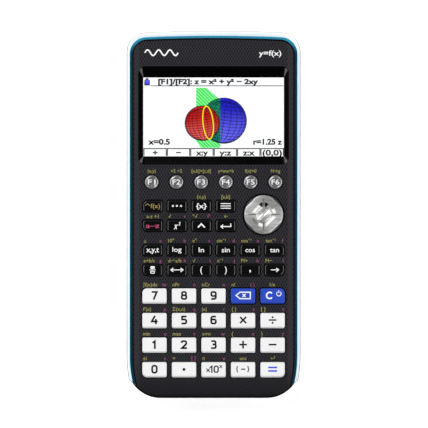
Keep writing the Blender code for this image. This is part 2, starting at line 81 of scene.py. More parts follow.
# The shells are drawn a little larger than their CAD solids, and the face a little narrower
RIM_GROWTH = 0.45
TOP_GROWTH = 0.22
CHIN_GROWTH = 0.4
FACE_INSET = 0.35

# Outlines of the body
REAR_SIDE = box_mm("rear_case")[1].x + RIM_GROWTH
REAR_TOP_EDGE = box_mm("rear_case")[1].y + TOP_GROWTH + RIM_GROWTH
REAR_CORNER = 9.9 + RIM_GROWTH
ACCENT_SIDE = box_mm("accent_frame")[1].x
ACCENT_TOP_EDGE = box_mm("accent_frame")[1].y + TOP_GROWTH
ACCENT_CORNER = 8.6
FRONT_SIDE = box_mm("front_case")[1].x - FACE_INSET
FRONT_TOP_EDGE = box_mm("front_case")[1].y + TOP_GROWTH
FRONT_CORNER = 7.9
SKIRT_INSET = 1.0
SKIRT_WALL = 1.2
SHELL_WALL = 1.8
LEDGE_LIP = 1.0 + RIM_GROWTH
LEDGE_DEPTH = 1.0
ARCH_RADIUS = 810.0
FLANK_START = -73.0
FLANK_RADIUS = 65.0
JOIN_Y = -87.3 - CHIN_GROWTH
CHIN_X = 27.3
CHIN_Y = -76.75 - CHIN_GROWTH
CHIN_RADIUS = 17.5
REAR_CHIN_INSET = 0.6
REAR_JOIN_EASE = 2.2
BACK_ROUND_WIDTH = 3.4
BACK_ROUND_HEIGHT = 4.5

# Screen
OPENING_SIDE = 38.75
OPENING_BOTTOM = 25.6
OPENING_TOP = 76.2
OPENING_CORNER = 3.6
LIT_SIDE = 36.25
LIT_BOTTOM = 29.9
LIT_TOP = 70.5

# Keys
FLANGE_LIP = 0.8
FLANGE_TOP = 15.3
HOLE_GAP = 0.4
CORNER = 0.9
CORNER_LARGE = 2.4
LARGE_CORNERS = {
    "7": "top_left", "clear": "top_right", "0": "bottom_left", "execute": "bottom_right",
    "shift": "top_left", "alpha": "bottom_left", "variable_x": "top_left",
    "fraction": "bottom_left", "tan": "top_right", "store": "bottom_right",
}
NUMBER_KEYS = (
    "7", "8", "9", "delete", "clear", "4", "5", "6", "multiply", "divide",
    "1", "2", "3", "add", "subtract", "0", "point", "exponent", "negate", "execute",
)
BLUE_KEYS = ("delete", "clear")
DARK_KEYS = (
    "shift", "option", "variables", "menu", "alpha", "square", "power", "exit",
    "variable_x", "log", "ln", "sin", "cos", "tan",
    "fraction", "convert", "open_bracket", "close_bracket", "comma", "store",
)
ROUND_KEYS = tuple("f%d" % i for i in range(1, 7))
INK = 0.04
LAYER = 0.002

# Direction pad
PAD_RADIUS = 10.2
PAD_HOLE = 10.85
PAD_FLANGE = 11.4
PAD_FLAT = 9.1
DIMPLE_OUTER = 7.5
DIMPLE_INNER = 5.3
DIMPLE_ROUND = 1.15
DIMPLE_DEPTH = 0.7

# Back
FLOOR = 2.2
RESTART_HOLE = (-30.0, 20.0)
SCREWS = ((37.6, 84.0), (37.6, -34.9), (30.0, -87.5))
FEET = ((29.0, 85.5), (33.0, -78.0))
BAY_Y = 51.0
BAY_SIDE = 21.4
BAY_LENGTH = 50.0
BAY_START = BAY_Y - BAY_LENGTH / 2
BAY_END = BAY_Y + BAY_LENGTH / 2
BAY_CEILING = 12.3
BAY_WALL = 1.2
BAY_ROOF = 12.8
CELL_PITCH = 10.6
CELL_Z = 7.0
COVER_SIDE = 24.0
COVER_LENGTH = 55.2
COVER_THICKNESS = 1.0
COVER_SEAT = 1.9
PORT_X = 20.0
PORT_Z = 7.0
BOARD_BOTTOM = 9.2
SHELLS_START = 80.0


# ---------------------------------------------------------------- materials

def feed(tree, socket, value):
    """Link a value to a socket, or set the socket to a plain number, vector or colour."""
    if isinstance(value, Value):
        tree.links.new(value.socket, socket)
    elif socket.type == "RGBA":
        socket.default_value = (*value, 1.0)
    else:
        socket.default_value = value


def add_node(tree, kind, inputs, output=0, **settings):
    """Output of a new node, given its inputs by number or name and its own settings."""
    node = tree.nodes.new("ShaderNode" + kind)
    for setting, value in settings.items():
        setattr(node, setting, value)
    for key, value in inputs.items():
        feed(tree, node.inputs[key], value)
    return Value(tree, node.outputs[output])


class Value:
    """Value in a node tree; arithmetic on it adds the nodes that work it out."""

    def __init__(self, tree, socket):
        self.tree = tree
        self.socket = socket

    def calc(self, operation, *others):
        return add_node(self.tree, "Math", dict(enumerate((self, *others))), operation=operation)

    def __add__(self, other):
        return self.calc("ADD", other)

    def __sub__(self, other):
        return self.calc("SUBTRACT", other)

    def __rsub__(self, other):
        return add_node(self.tree, "Math", {0: other, 1: self}, operation="SUBTRACT")

    def __mul__(self, other):
        return self.calc("MULTIPLY", other)

    def cosine(self):
        return self.calc("COSINE")

    def absolute(self):
        return self.calc("ABSOLUTE")

    def split(self):
        """The three parts of a vector."""
        axes = self.tree.nodes.new("ShaderNodeSeparateXYZ")
        feed(self.tree, axes.inputs[0], self)
        return [Value(self.tree, socket) for socket in axes.outputs]

    def spread(self, low, high, to_low=0.0, to_high=1.0):
        """Value carried smoothly from the range low to high to another range."""
        return add_node(self.tree, "MapRange", dict(enumerate((self, low, high, to_low, to_high))),
                        interpolation_type="SMOOTHSTEP")

    def blend(self, first, second):
        """The first colour where this is 0, and the second where it is 1."""
        return add_node(self.tree, "Mix", {0: self, 6: first, 7: second}, 2, data_type="RGBA")


class Paint:
    """Material being mixed, with the surface point in millimetres as where and as x, y and z."""

    def __init__(self, name, **constants):
        self.material = bpy.data.materials.new(name)
        self.material.use_nodes = True
        self.tree = self.material.node_tree
        self.set(**constants)
        point = Value(self.tree, self.tree.nodes.new("ShaderNodeTexCoord").outputs["Object"])
        self.where = add_node(self.tree, "VectorMath", {"Vector": point, "Scale": 1.0 / MM},
                              operation="SCALE")
        self.x, self.y, self.z = self.where.split()

    def set(self, **sockets):
        """Set or link shader sockets, with underscores for spaces in their names; gives the material."""
        shader = self.tree.nodes["Principled BSDF"]
        for name, value in sockets.items():
            feed(self.tree, shader.inputs[name.replace("_", " ")], value)
        return self.material

    def noise(self, size, detail=2.0, angle=0.0, stretch=None):
        """Noise of about that size, along coordinates turned about Z and then stretched for streaks."""
        vector = self.where
        if stretch:
            turn = (0.0, 0.0, math.radians(angle))
            vector = add_node(self.tree, "Mapping", {"Vector": vector, "Rotation": turn, "Scale": stretch},
                              vector_type="POINT")
        return add_node(self.tree, "TexNoise", {"Vector": vector, "Scale": 1.0 / size, "Detail": detail})

    def bricks(self, scale, mortar_size, brick, other_brick, mortar, **settings):
        """Colour of a brick pattern, used for tracks and for picture cells."""
        return add_node(self.tree, "TexBrick", {
            "Vector": self.where, "Scale": scale, "Mortar Size": mortar_size, "Color1": brick,
            "Color2": other_brick, "Mortar": mortar}, **settings)

    def bump(self, height, depth, below=None):
        """Surface normal for a height from 0 to 1 that stands for depth millimetres."""
        inputs = {"Distance": depth * MM, "Height": height}
        if below:
            inputs["Normal"] = below
        return add_node(self.tree, "Bump", inputs)


def shades(color, amount):
    """A colour made darker, and made lighter, by a share of itself."""
    return [c * (1.0 - amount) for c in color], [min(1.0, c * (1.0 + amount)) for c in color]


def moulded(name, color, roughness, grain=0.35, depth=0.01, mottling=0.06, **constants):
    """Moulded plastic: fine tool grain, with slow unevenness in its colour and gloss."""
    paint = Paint(name, **constants)
    slow = paint.noise(14.0, 3.0)
    fine = paint.noise(grain, 3.0)
    uneven = slow * 0.6 + fine * 0.4
    return paint.set(Base_Color=slow.blend(*shades(color, mottling)),
                     Roughness=uneven.spread(0.25, 0.75, roughness * 0.85, roughness * 1.2),
                     Normal=paint.bump(fine, depth))


def streaked(paint, angle, streak=0.1):
    """Fine streaks along one direction, and the same mixed with broader ones."""
    fine = paint.noise(streak, 3.0, angle, (0.04, 1.0, 1.0))
    broad = paint.noise(0.9, 2.0, angle, (0.15, 1.0, 1.0))
    return fine, (fine * 0.5 + broad * 0.5).spread(0.32, 0.68)


def brushed(name, color, roughness, angle):
    """Plated or drawn metal with fine streaks along one direction."""
    paint = Paint(name, Metallic=1.0)
    fine, both = streaked(paint, angle)
    return paint.set(Base_Color=both.blend(*shades(color, 0.22)),
                     Roughness=fine.spread(0.3, 0.7, roughness * 0.7, roughness * 1.3),
                     Normal=paint.bump(fine, 0.006))


def dimpled_shell():
    """The face: charcoal plastic with staggered dark dimples and a plain border with a dotted line, with
    painted shade: darker towards the chin, a dark band along the chin's edge, and near-black below the top
    surface.
    """
    paint = Paint("face_plastic", Specular_IOR_Level=0.12)
    pitch, row = 1.45, 1.29
    along = (paint.y * (math.pi / row)).cosine()
    weave = ((paint.x * (2.0 * math.pi / pitch)).cosine() * along).spread(-0.12, 0.45)
    beside = paint.x.absolute()
    field = beside.spread(FRONT_SIDE - 3.9, FRONT_SIDE - 3.6, 1.0, 0.0)
    line = (beside - (FRONT_SIDE - 1.0)).absolute().spread(0.2, 0.45, 1.0, 0.0)
    dots = line * along.spread(0.3, 0.9)
    level = paint.z.spread(PANEL_TOP - 0.08, PANEL_TOP - 0.03)
    dimple = level * dots.calc("MAXIMUM", weave * field)
    fine = paint.noise(0.3, 3.0)
    ground = paint.noise(18.0, 3.0).blend((0.0235, 0.0220, 0.0275), (0.0300, 0.0280, 0.0345))
    # painted shade: the ground gets darker towards the chin
    ground = paint.y.spread(-95.0, -74.0).blend((0.0110, 0.0105, 0.0140), ground)
    # painted shade: a dark band along the chin's lower edge
    ground = paint.y.spread(-93.3, -91.8).blend((0.0040, 0.0042, 0.0070), ground)
    printed = dimple.blend(ground, (0.0028, 0.0026, 0.0038))
    # painted shade: near-black on the faces below the top surface, down the openings round the keys and the
    # screen
    below = paint.z.spread(PANEL_TOP - 0.22, PANEL_TOP - 0.05, 1.0, 0.0)
    return paint.set(Base_Color=below.blend(printed, (0.0014, 0.0018, 0.0024)),
                     Roughness=fine.spread(0.2, 0.8, 0.42, 0.58),
                     Normal=paint.bump(1.0 - dimple, 0.09, paint.bump(fine, 0.012)))


def white_shell():
    """White plastic with painted light: the upper ledge painted brighter and glowing a little, the wall
    painted darker as shade, and a dark line of painted shade round the ledge's outer edge.
    """
    paint = Paint("white_plastic", Emission_Strength=0.2)
    slow = paint.noise(14.0, 3.0)
    # painted shade: the wall is darker than the ledge
    wall = slow.blend((0.66, 0.67, 0.675), (0.71, 0.715, 0.715))
    ledge = paint.z.spread(REAR_TOP - 0.22, REAR_TOP - 0.08)
    # painted light: the upper ledge is brighter than the wall
    shell = ledge.blend(wall, (0.96, 0.965, 0.965))
    faint = paint.y.spread(REAR_TOP_EDGE - 8.0, REAR_TOP_EDGE - 2.0, 1.0, 0.35)
    # painted shade: a dark line on the rounding at the ledge's outer edge, fainter round the top
    painted_edge_shade = (paint.z.spread(REAR_TOP - 0.85, REAR_TOP - 0.7)
               * paint.z.spread(REAR_TOP - 0.25, REAR_TOP - 0.12, 1.0, 0.0) * faint)
    # painted light: the upper ledge glows a little, though it is no lamp
    painted_glow = paint.z.spread(REAR_TOP - 0.12, REAR_TOP - 0.02) * faint
    return paint.set(Base_Color=painted_edge_shade.blend(shell, (0.13, 0.135, 0.14)),
                     Emission_Color=painted_glow.blend((0.0, 0.0, 0.0), (1.0, 0.98, 0.96)),
                     Roughness=slow.spread(0.3, 0.7, 0.36, 0.48),
                     Normal=paint.bump(paint.noise(0.35, 3.0), 0.01))


def plating_with_painted_sheen():
    """Plating with fine streaks and a painted sheen: painted lighter and darker sectors round its middle,
    painted shade on one part of the bevels and painted glints on the middle disc and two parts of the
    bevels.
    """
    paint = Paint("pad_plating", Metallic=0.4)
    middle_x, middle_y = middle_mm("direction_pad")
    dx = paint.x - middle_x
    dy = paint.y - middle_y
    angle = dy.calc("ARCTAN2", dx)
    radius = (dx * dx + dy * dy).calc("SQRT")

    def facing(heading, times=1.0):
        """Cosine of the angle from a heading, taken that many times."""
        return ((angle - math.radians(heading)) * times).cosine()

    streaks, both = streaked(paint, 48.0)
    # painted reflection: light and dim sectors round the middle stand in for a spun sheen
    light = both.blend((0.42, 0.42, 0.415), (0.66, 0.66, 0.655))
    dim = both.blend((0.24, 0.24, 0.235), (0.42, 0.42, 0.415))
    painted_sectors = facing(155.0, 2.0).spread(-1.0, 1.0).blend(dim, light)
    bevels = radius.spread(4.6, 5.0) * radius.spread(6.1, 6.8, 1.0, 0.0)
    # painted shade on the lower left part of the bevels
    painted_sectors = (bevels * facing(214.0).spread(0.90, 1.0)).blend(painted_sectors, (0.22, 0.22, 0.22))
    # painted glints: near white on the middle disc and on two parts of the bevels
    bright = radius.spread(3.9, 4.2, 1.0, 0.0) * facing(24.0, 2.0).spread(0.5, 0.9)
    for heading, half_width in ((19.0, 12.0), (253.0, 11.0)):
        limits = [math.cos(math.radians(half_width + fade)) for fade in (3.0, -3.0)]
        bright = bright.calc("MAXIMUM", bevels * facing(heading).spread(*limits))
    return paint.set(Base_Color=bright.blend(painted_sectors, (0.96, 0.96, 0.95)),
                     Roughness=streaks.spread(0.3, 0.7, 0.26, 0.48), Normal=paint.bump(streaks, 0.004))


def accent_paint():
    """Pearl paint with flakes: teal round the top of the band, with painted light down its flanks: dark blue
    as painted shade, and a lighter teal painted highlight on their rounded outer edge.
    """
    paint = Paint("accent_paint", Metallic=0.08, Specular_IOR_Level=0.12)
    flakes = paint.noise(0.18, 2.0)
    end = paint.y.spread(FRONT_TOP_EDGE - 9.0, FRONT_TOP_EDGE - 0.5)
    # painted light on the flanks: their top is dark blue as painted shade, their rounded outer edge and side
    # a lighter teal as painted highlight
    edge = paint.z.spread(ACCENT_TOP - 0.1, ACCENT_TOP - 0.004, 1.0, 0.0)
    flank = edge.blend((0.0, 0.040, 0.085), (0.020, 0.42, 0.66))
    sparkle = edge.blend((0.0, 0.065, 0.13), (0.035, 0.55, 0.82))
    base = end.blend(flank, (0.016, 0.28, 0.47))
    bright = end.blend(sparkle, (0.040, 0.42, 0.65))
    return paint.set(Base_Color=flakes.spread(0.4, 0.7).blend(base, bright),
                     Roughness=flakes.spread(0.2, 0.8, 0.38, 0.55), Normal=paint.bump(flakes, 0.006))


def circuit_board():
    """Green solder mask over copper tracks; chips of black resin and steel socket shells below it."""
    paint = Paint("board_mask", Coat_Weight=0.3)
    black = (0.0, 0.0, 0.0)
    tracks = paint.bricks(0.16, 0.035, black, black, (1.0, 1.0, 1.0))
    cloud = paint.noise(5.0, 3.0)
    mask = cloud.blend((0.008, 0.085, 0.03), (0.014, 0.13, 0.05))
    laminate = tracks.blend(mask, (0.03, 0.24, 0.09))
    below = paint.z.spread(BOARD_BOTTOM - 0.06, BOARD_BOTTOM - 0.02, 1.0, 0.0)
    shells = below * paint.y.spread(SHELLS_START - 1.0, SHELLS_START)
    resin = cloud.blend((0.010, 0.010, 0.011), (0.018, 0.018, 0.019))
    steel = cloud.blend((0.42, 0.42, 0.42), (0.55, 0.55, 0.54))
    return paint.set(Base_Color=shells.blend(below.blend(laminate, resin), steel), Metallic=shells,
                     Roughness=cloud.spread(0.3, 0.7, 0.3, 0.5), Normal=paint.bump(tracks, 0.04))


def cell_sleeve():
    """Printed shrink sleeve: dark body, a lighter band by its positive end, fine wrinkles."""
    paint = Paint("cell_sleeve", Metallic=0.35)
    column = paint.x.calc("DIVIDE", CELL_PITCH).calc("FLOOR")
    way = 1.0 - column.calc("MODULO", 2.0).absolute() * 2.0
    band = ((paint.y - BAY_Y) * way).spread(9.5, 10.0)
    wrinkles = paint.noise(2.2, 3.0, 0.0, (0.3, 1.0, 0.3))
    return paint.set(Base_Color=band.blend((0.03, 0.035, 0.05), (0.55, 0.33, 0.12)),
                     Roughness=wrinkles.spread(0.3, 0.7, 0.22, 0.38), Normal=paint.bump(wrinkles, 0.05))


def ink(name, color):
    """Printed legend, slightly uneven where the ink is thin."""
    paint = Paint(name, Specular_IOR_Level=0.15)
    cover = paint.noise(0.5, 2.0)
    return paint.set(Base_Color=cover.blend(*shades(color, 0.07)),
                     Roughness=cover.spread(0.3, 0.7, 0.4, 0.55))


def lit(name, low_color, high_color, bottom, top, hatch=None, spacing=1.8):
    """Lit part of the screen, shaded from one colour at bottom to another at top.

    With hatch, slanting lines of that colour cross it at that spacing."""
    paint = Paint(name, Roughness=0.4, Emission_Strength=1.08, Base_Color=(0.0, 0.0, 0.0))
    color = paint.y.spread(bottom, top).blend(low_color, high_color)
    if hatch:
        line = (paint.x + paint.y).calc("DIVIDE", spacing).calc("FRACT")
        color = (line - 0.5).absolute().spread(0.12, 0.34).blend(hatch, color)
    return paint.set(Emission_Color=color)


def backlight():
    """White lit panel with the faint grid of its picture cells."""
    paint = Paint("backlight", Roughness=0.35, Emission_Strength=1.15, Base_Color=(0.0, 0.0, 0.0))
    return paint.set(Emission_Color=paint.bricks(5.4, 0.02, (0.98, 0.99, 1.0), (1.0, 1.0, 1.0),
                                                 (0.93, 0.94, 0.95), offset=0.0))


def clear_pane():
    """Clear acrylic, with faint waviness in its polish."""
    paint = Paint("clear_acrylic", Transmission_Weight=1.0, IOR=1.49, Base_Color=(0.97, 0.98, 0.98))
    return paint.set(Roughness=paint.noise(9.0, 2.0).spread(0.3, 0.7, 0.0, 0.03))


GLOSS_GRAIN = {"grain": 0.6, "depth": 0.006}
MATERIALS = {
    "face": dimpled_shell(),
    "gloss": moulded("gloss_plastic", (0.0008, 0.0007, 0.0009), 0.24, grain=3.0, depth=0.004,
                     Specular_IOR_Level=0.06),
    # painted highlight: a lighter material for the middle of each rounded corner of the screen surround
    "painted_highlight_strip": moulded("painted_highlight_plastic", (0.085, 0.082, 0.08), 0.5, Specular_IOR_Level=0.2),
    # painted shade: near-black for the flanges of the keys and the pad, where the gaps round them are in
    # shade
    "flange": moulded("painted_gap_shade", (0.0015, 0.0015, 0.0018), 0.6, Specular_IOR_Level=0.1),
    # painted shade: darker plating for the lower ledge round the pad
    "ledge_shade": moulded("ledge_painted_shade", (0.05, 0.05, 0.05), 0.45, grain=0.25, depth=0.004,
                         Metallic=0.3),
    "white_shell": white_shell(),
    "accent": accent_paint(),
    "key_white": moulded("key_white_plastic", (0.85, 0.85, 0.85), 0.34, mottling=0.02, **GLOSS_GRAIN),
    "key_blue": moulded("key_blue_plastic", (0.022, 0.066, 0.50), 0.3, **GLOSS_GRAIN),
    "key_dark": moulded("key_dark_plastic", (0.0026, 0.0026, 0.003), 0.2, grain=0.8, depth=0.006,
                        Specular_IOR_Level=0.4),
    "plating": moulded("key_plating", (0.29, 0.29, 0.295), 0.22, grain=0.25, depth=0.003, Metallic=0.65),
    "pad": plating_with_painted_sheen(),
    "pivot": moulded("pivot_plastic", (0.05, 0.05, 0.055), 0.5),
    "window": clear_pane(),
    "lcd_body": moulded("lcd_frame", (0.006, 0.006, 0.007), 0.45),
    "backlight": backlight(),
    "board": circuit_board(),
    "mat": moulded("mat_silicone", (0.42, 0.44, 0.47), 0.7, grain=0.8, depth=0.02),
    "cell": cell_sleeve(),
    "steel": brushed("screw_steel", (0.35, 0.35, 0.36), 0.32, 0.0),
    "contact": brushed("contact_nickel", (0.68, 0.66, 0.62), 0.28, 90.0),
    "rubber": moulded("foot_rubber", (0.035, 0.035, 0.037), 0.75, grain=0.5, depth=0.03),
}
# Colours of the printing on the keys and, with face in their names, on the face, and of the dark lines of
# painted shade in the pad's creases
INKS = {
    "white": (0.86, 0.86, 0.86), "dark": (0.003, 0.003, 0.0035), "blue": (0.02, 0.06, 0.72),
    "yellow": (0.33, 0.27, 0.09), "pink": (0.50, 0.07, 0.17), "face_white": (0.88, 0.88, 0.88),
    "face_yellow": (0.29, 0.27, 0.085), "face_pink": (0.28, 0.07, 0.17), "grey": (0.07, 0.07, 0.07),
}
# Colour at the lower and the upper end of each lit part, those ends, and the colour of its hatching
LIT_PARTS = {
    "black": ((0.0, 0.0, 0.0), (0.004, 0.004, 0.006), LIT_BOTTOM, LIT_TOP),
    "green": ((0.26, 1.0, 0.32), (0.26, 1.0, 0.32), 34.0, 65.0, (0.02, 0.72, 0.08)),
    "teal": ((0.0, 0.30, 0.09), (0.0, 0.34, 0.12), 36.0, 60.0, (0.0, 0.13, 0.07)),
    "red": ((0.88, 0.11, 0.11), (0.58, 0.0, 0.0), 37.0, 52.0),
    "dark_red": ((0.10, 0.0, 0.005), (0.02, 0.0, 0.0), 38.0, 55.0),
    "blue": ((0.15, 0.14, 0.98), (0.006, 0.006, 0.55), 36.0, 57.0),
    "dark_blue": ((0.006, 0.006, 0.12), (0.0, 0.0, 0.02), 37.0, 60.0),
    "yellow": ((1.0, 0.80, 0.01), (1.0, 0.80, 0.01), 38.0, 56.0),
    "icon": ((0.03, 0.03, 0.9), (0.2, 0.2, 1.0), 66.5, 70.5),
}
for part, color in INKS.items():
    MATERIALS["ink_" + part] = ink("ink_" + part, color)
for part, settings in LIT_PARTS.items():
    MATERIALS["lit_" + part] = lit("lit_" + part, *settings)


# ---------------------------------------------------------------- outlines

def arc(cx, cy, radius, start, end, steps):
    """Points along an arc from start to end, both ends included."""
    angles = [math.radians(start + (end - start) * i / steps) for i in range(steps + 1)]
    return [(cx + radius * math.cos(a), cy + radius * math.sin(a)) for a in angles]


def circle(radius, steps=48, x=0.0, y=0.0):
    return arc(x, y, radius, 0.0, 360.0 * (steps - 1) / steps, steps - 1)


def rounding(steps, width, height):
    """Quarter round from a side to a top: distances in from the side and below the top."""
    angles = [math.radians(90.0 * i / steps) for i in range(steps + 1)]
    return [(width * (1.0 - math.cos(a)), height * (1.0 - math.sin(a))) for a in angles]


def moved(points, dx, dy):
    return [(x + dx, y + dy) for x, y in points]


def rotated(points, angle, x=0.0, y=0.0):
    """Points turned about the origin, then moved by x and y."""
    a = math.radians(angle)
    return [(x + px * math.cos(a) - py * math.sin(a), y + px * math.sin(a) + py * math.cos(a))
            for px, py in points]


def mirrored(points):
    return [(sign * x, y) for x, y in points for sign in (1, -1)]


def rounded_rect(x0, x1, y0, y1, radii, steps=6):
    """Rounded rectangle; radii is one radius, or those at top right, top left, bottom left, bottom right."""
    points = []
    corners = ((x1, y1, -1, -1), (x0, y1, 1, -1), (x0, y0, 1, 1), (x1, y0, -1, 1))
    for i, (x, y, to_x, to_y) in enumerate(corners):
        r = radii if isinstance(radii, float) else radii[i]
        points += arc(x + to_x * r, y + to_y * r, r, 90.0 * i, 90.0 * (i + 1), steps)
    return points


def right_half(side, top, corner, chin, join, ease=0.0):
    """Right half of a body outline: the middle of the top to the flank's end at join, then the chin."""
    arch_y = top - ARCH_RADIUS
    corner_x = side - corner
    corner_y = arch_y + math.sqrt((ARCH_RADIUS - corner) ** 2 - corner_x ** 2)
    tangent = math.degrees(math.atan2(corner_y - arch_y, corner_x))
    flank_radius = FLANK_RADIUS + side - ACCENT_SIDE
    flank_angle = math.degrees(math.asin((FLANK_START - join - ease) / flank_radius))
    flank = arc(0.0, arch_y, ARCH_RADIUS, 90.0, tangent, 10)
    flank += arc(corner_x, corner_y, corner, tangent, 0.0, 16)[1:]
    flank += arc(side - flank_radius, FLANK_START, flank_radius, 0.0, -flank_angle, 8)
    if ease:
        flank.append((flank[-1][0] - ease, join))
    chin_angle = math.degrees(math.asin((CHIN_Y - join) / chin))
    return flank, arc(CHIN_X, CHIN_Y, chin, -chin_angle, -90.0, 18) + [(0.0, CHIN_Y - chin)]


def body_outline(*measures):
    flank, below = right_half(*measures)
    right = flank + below
    return right + [(-x, y) for x, y in reversed(right[1:-1])]


def rear_outline(inset):
    return body_outline(REAR_SIDE - inset, REAR_TOP_EDGE - inset, REAR_CORNER - inset,
                        CHIN_RADIUS - REAR_CHIN_INSET - inset, JOIN_Y + inset / 2, REAR_JOIN_EASE)


def front_outline(inset):
    return body_outline(FRONT_SIDE - inset, FRONT_TOP_EDGE - inset, FRONT_CORNER - inset,
                        CHIN_RADIUS - inset, JOIN_Y - inset / 2)


def skirt_outline(inset):
    """The skirt stands inside the accent frame, and is flush with the face at the chin."""
    side = SKIRT_INSET + inset
    return body_outline(FRONT_SIDE - side, FRONT_TOP_EDGE - side, FRONT_CORNER - side,
                        CHIN_RADIUS - inset, JOIN_Y - side / 2)


def window_outline(grow):
    side = OPENING_SIDE + 0.6 + grow
    return rounded_rect(-side, side, OPENING_BOTTOM - 0.6 - grow, OPENING_TOP + 0.6 + grow, 1.5, 12)


# ---------------------------------------------------------------- meshes

def ring(bm, outline, z):
    """Vertices round an outline, at one height or at z(x, y)."""
    height = z if callable(z) else (lambda x, y: z)
    return [bm.verts.new(Vector((x, y, height(x, y))) * MM) for x, y in outline]


def rings_of(bm, sections):
    return [ring(bm, outline, z) for outline, z in sections]


def bridge(bm, first, second, material=0, closed=True):
    count = len(first)
    for i in range(count if closed else count - 1):
        j = (i + 1) % count
        face = bm.faces.new((first[i], first[j], second[j], second[i]))
        face.material_index = material


def walls(bm, rings, material=0, closed=True):
    """Faces between each ring and the next."""
    for first, second in zip(rings, rings[1:]):
        bridge(bm, first, second, material, closed)


def cap(bm, verts, material=0):
    face = bm.faces.new(verts)
    face.material_index = material


def fill(bm, loops):
    """Flat face bounded by the first loop, with the other loops as holes."""
    edges = []
    for loop in loops:
        for a, b in zip(loop, loop[1:] + loop[:1]):
            edges.append(bm.edges.get((a, b)) or bm.edges.new((a, b)))
    bmesh.ops.triangle_fill(bm, use_beauty=True, edges=edges)


def tube(bm, sections, material=0):
    """Walls through sections, each an outline and its height; gives back their rings."""
    rings = rings_of(bm, sections)
    walls(bm, rings, material)
    return rings


def loft(bm, sections):
    """Closed solid through sections."""
    rings = tube(bm, sections)
    cap(bm, list(reversed(rings[0])))
    cap(bm, rings[-1])


def pocket(bm, around, mouth_outline, bed_outline, height, bed_height):
    """Flat face inside the ring around, with a recess in it that narrows to a bed."""
    mouth, bed = tube(bm, [(mouth_outline, height), (bed_outline, bed_height)])
    cap(bm, bed)
    fill(bm, [around, mouth])


def chamfered(outline_at, low, high, edge):
    """Sections from low to high with chamfered edges; outline_at(inset) gives the outline."""
    return [(outline_at(edge), low), (outline_at(0.0), low + edge),
            (outline_at(0.0), high - edge), (outline_at(edge), high)]


def slab(bm, outline, bottom, top):
    loft(bm, [(outline, bottom), (outline, top)])


def block(bm, x0, x1, y0, y1, z0, z1, edge=0.15):
    """Box with chamfered upper and lower edges."""
    def outline(inset):
        return [(x0 + inset, y0 + inset), (x1 - inset, y0 + inset),
                (x1 - inset, y1 - inset), (x0 + inset, y1 - inset)]

    loft(bm, chamfered(outline, z0, z1, edge))


def turned(bm, profile, x, y, steps=48):
    """Solid of revolution about a vertical axis; profile is radius and height from one end to the other."""
    loft(bm, [(circle(r, steps, x, y), z) for r, z in profile])


def stroke(bm, points, width, bottom, top, closed=False):
    """Line of even width along points, as a thin solid; bottom and top may be heights at (x, y)."""
    left, right = [], []
    count = len(points)
    for i in range(count):
        before = points[i - 1] if closed or i else points[i]
        after = points[(i + 1) % count] if closed or i < count - 1 else points[i]
        here = Vector(points[i])
        into = (here - Vector(before)).normalized() if before != points[i] else None
        out = (Vector(after) - here).normalized() if after != points[i] else None
        into = into or out
        out = out or into
        along = (into + out).normalized()
        aside = Vector((-along.y, along.x))
        reach = width / 2 / max(0.35, abs(aside.dot(Vector((-into.y, into.x)))))
        left.append(tuple(here + aside * reach))
        right.append(tuple(here - aside * reach))
    sides = rings_of(bm, ((left, top), (right, top), (right, bottom), (left, bottom)))
    walls(bm, sides + sides[:1], closed=closed)
    if not closed:
        cap(bm, [side[0] for side in sides])
        cap(bm, [side[-1] for side in reversed(sides)])


def evaluated_mesh(obj):
    return bpy.data.meshes.new_from_object(obj.evaluated_get(bpy.context.evaluated_depsgraph_get()))


def add_object(name, data):
    obj = bpy.data.objects.new(name, data)
    bpy.context.scene.collection.objects.link(obj)
    return obj


def lettering(bm, text, x, y, bottom, top, height, width=None, weight=0.012, align=0.0, shear=0.0):
    """Raised text of a given capital height; align is -1 for left, 0 for centre and 1 for right of x."""
    capital = 0.682
    curve = bpy.data.curves.new("lettering", "FONT")
    curve.body = text
    curve.extrude = 0.5
    curve.offset = weight
    curve.shear = shear
    curve.resolution_u = 3
    obj = add_object("lettering", curve)
    mesh = evaluated_mesh(obj)
    bpy.data.objects.remove(obj)
    bpy.data.curves.remove(curve)
    letters = bmesh.new()
    letters.from_mesh(mesh)
    bmesh.ops.remove_doubles(letters, verts=letters.verts, dist=1e-4)
    low = min(v.co.x for v in letters.verts)
    high = max(v.co.x for v in letters.verts)
    grow = height / capital
    grow_x = width / (high - low) if width else grow
    anchor = low + (high - low) * (align + 1.0) / 2.0
    for v in letters.verts:
        level = bottom if v.co.z < 0.0 else top
        v.co = Vector((x + (v.co.x - anchor) * grow_x, y + (v.co.y - capital / 2) * grow, level)) * MM
    letters.to_mesh(mesh)
    letters.free()
    bm.from_mesh(mesh)
    bpy.data.meshes.remove(mesh)


def object_from(name, bm):
    bmesh.ops.recalc_face_normals(bm, faces=bm.faces)
    mesh = bpy.data.meshes.new(name)
    bm.to_mesh(mesh)
    bm.free()
    return add_object(name, mesh)


def shade(obj, materials, sharp):
    """Materials, and smooth shading with sharp edges from that angle on."""
    for name in materials:
        obj.data.materials.append(MATERIALS[name])
    obj.data.shade_smooth()
    obj.data.set_sharp_from_angle(angle=math.radians(sharp))


def finish_piece(obj, materials, slot, body="root", replaces=(), sharp=38.0):
    """Shading, body and replaced nodes of a piece; the slot is not used."""
    shade(obj, materials, sharp)
    weighted = obj.modifiers.new("even_shading", "WEIGHTED_NORMAL")
    weighted.keep_sharp = True
    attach(obj, body)
    if replaces:
        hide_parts(*replaces)


def piece(name, bm, materials, slot, **settings):
    finish_piece(object_from(name, bm), materials, slot, **settings)


def carved(name, solid, steps):
    """Object made of a solid that other solids are added to or taken from, in order."""
    obj = object_from(name, solid)
    tools = []
    for operation, bm in steps:
        tool = object_from("tool", bm)
        modifier = obj.modifiers.new("tool", "BOOLEAN")
        modifier.operation = operation
        modifier.solver = "EXACT"
        modifier.object = tool
        tools.append(tool)
    mesh = evaluated_mesh(obj)
    obj.modifiers.clear()
    obj.data = mesh
    for tool in tools:
        bpy.data.objects.remove(tool)
    return obj


# ---------------------------------------------------------------- shells

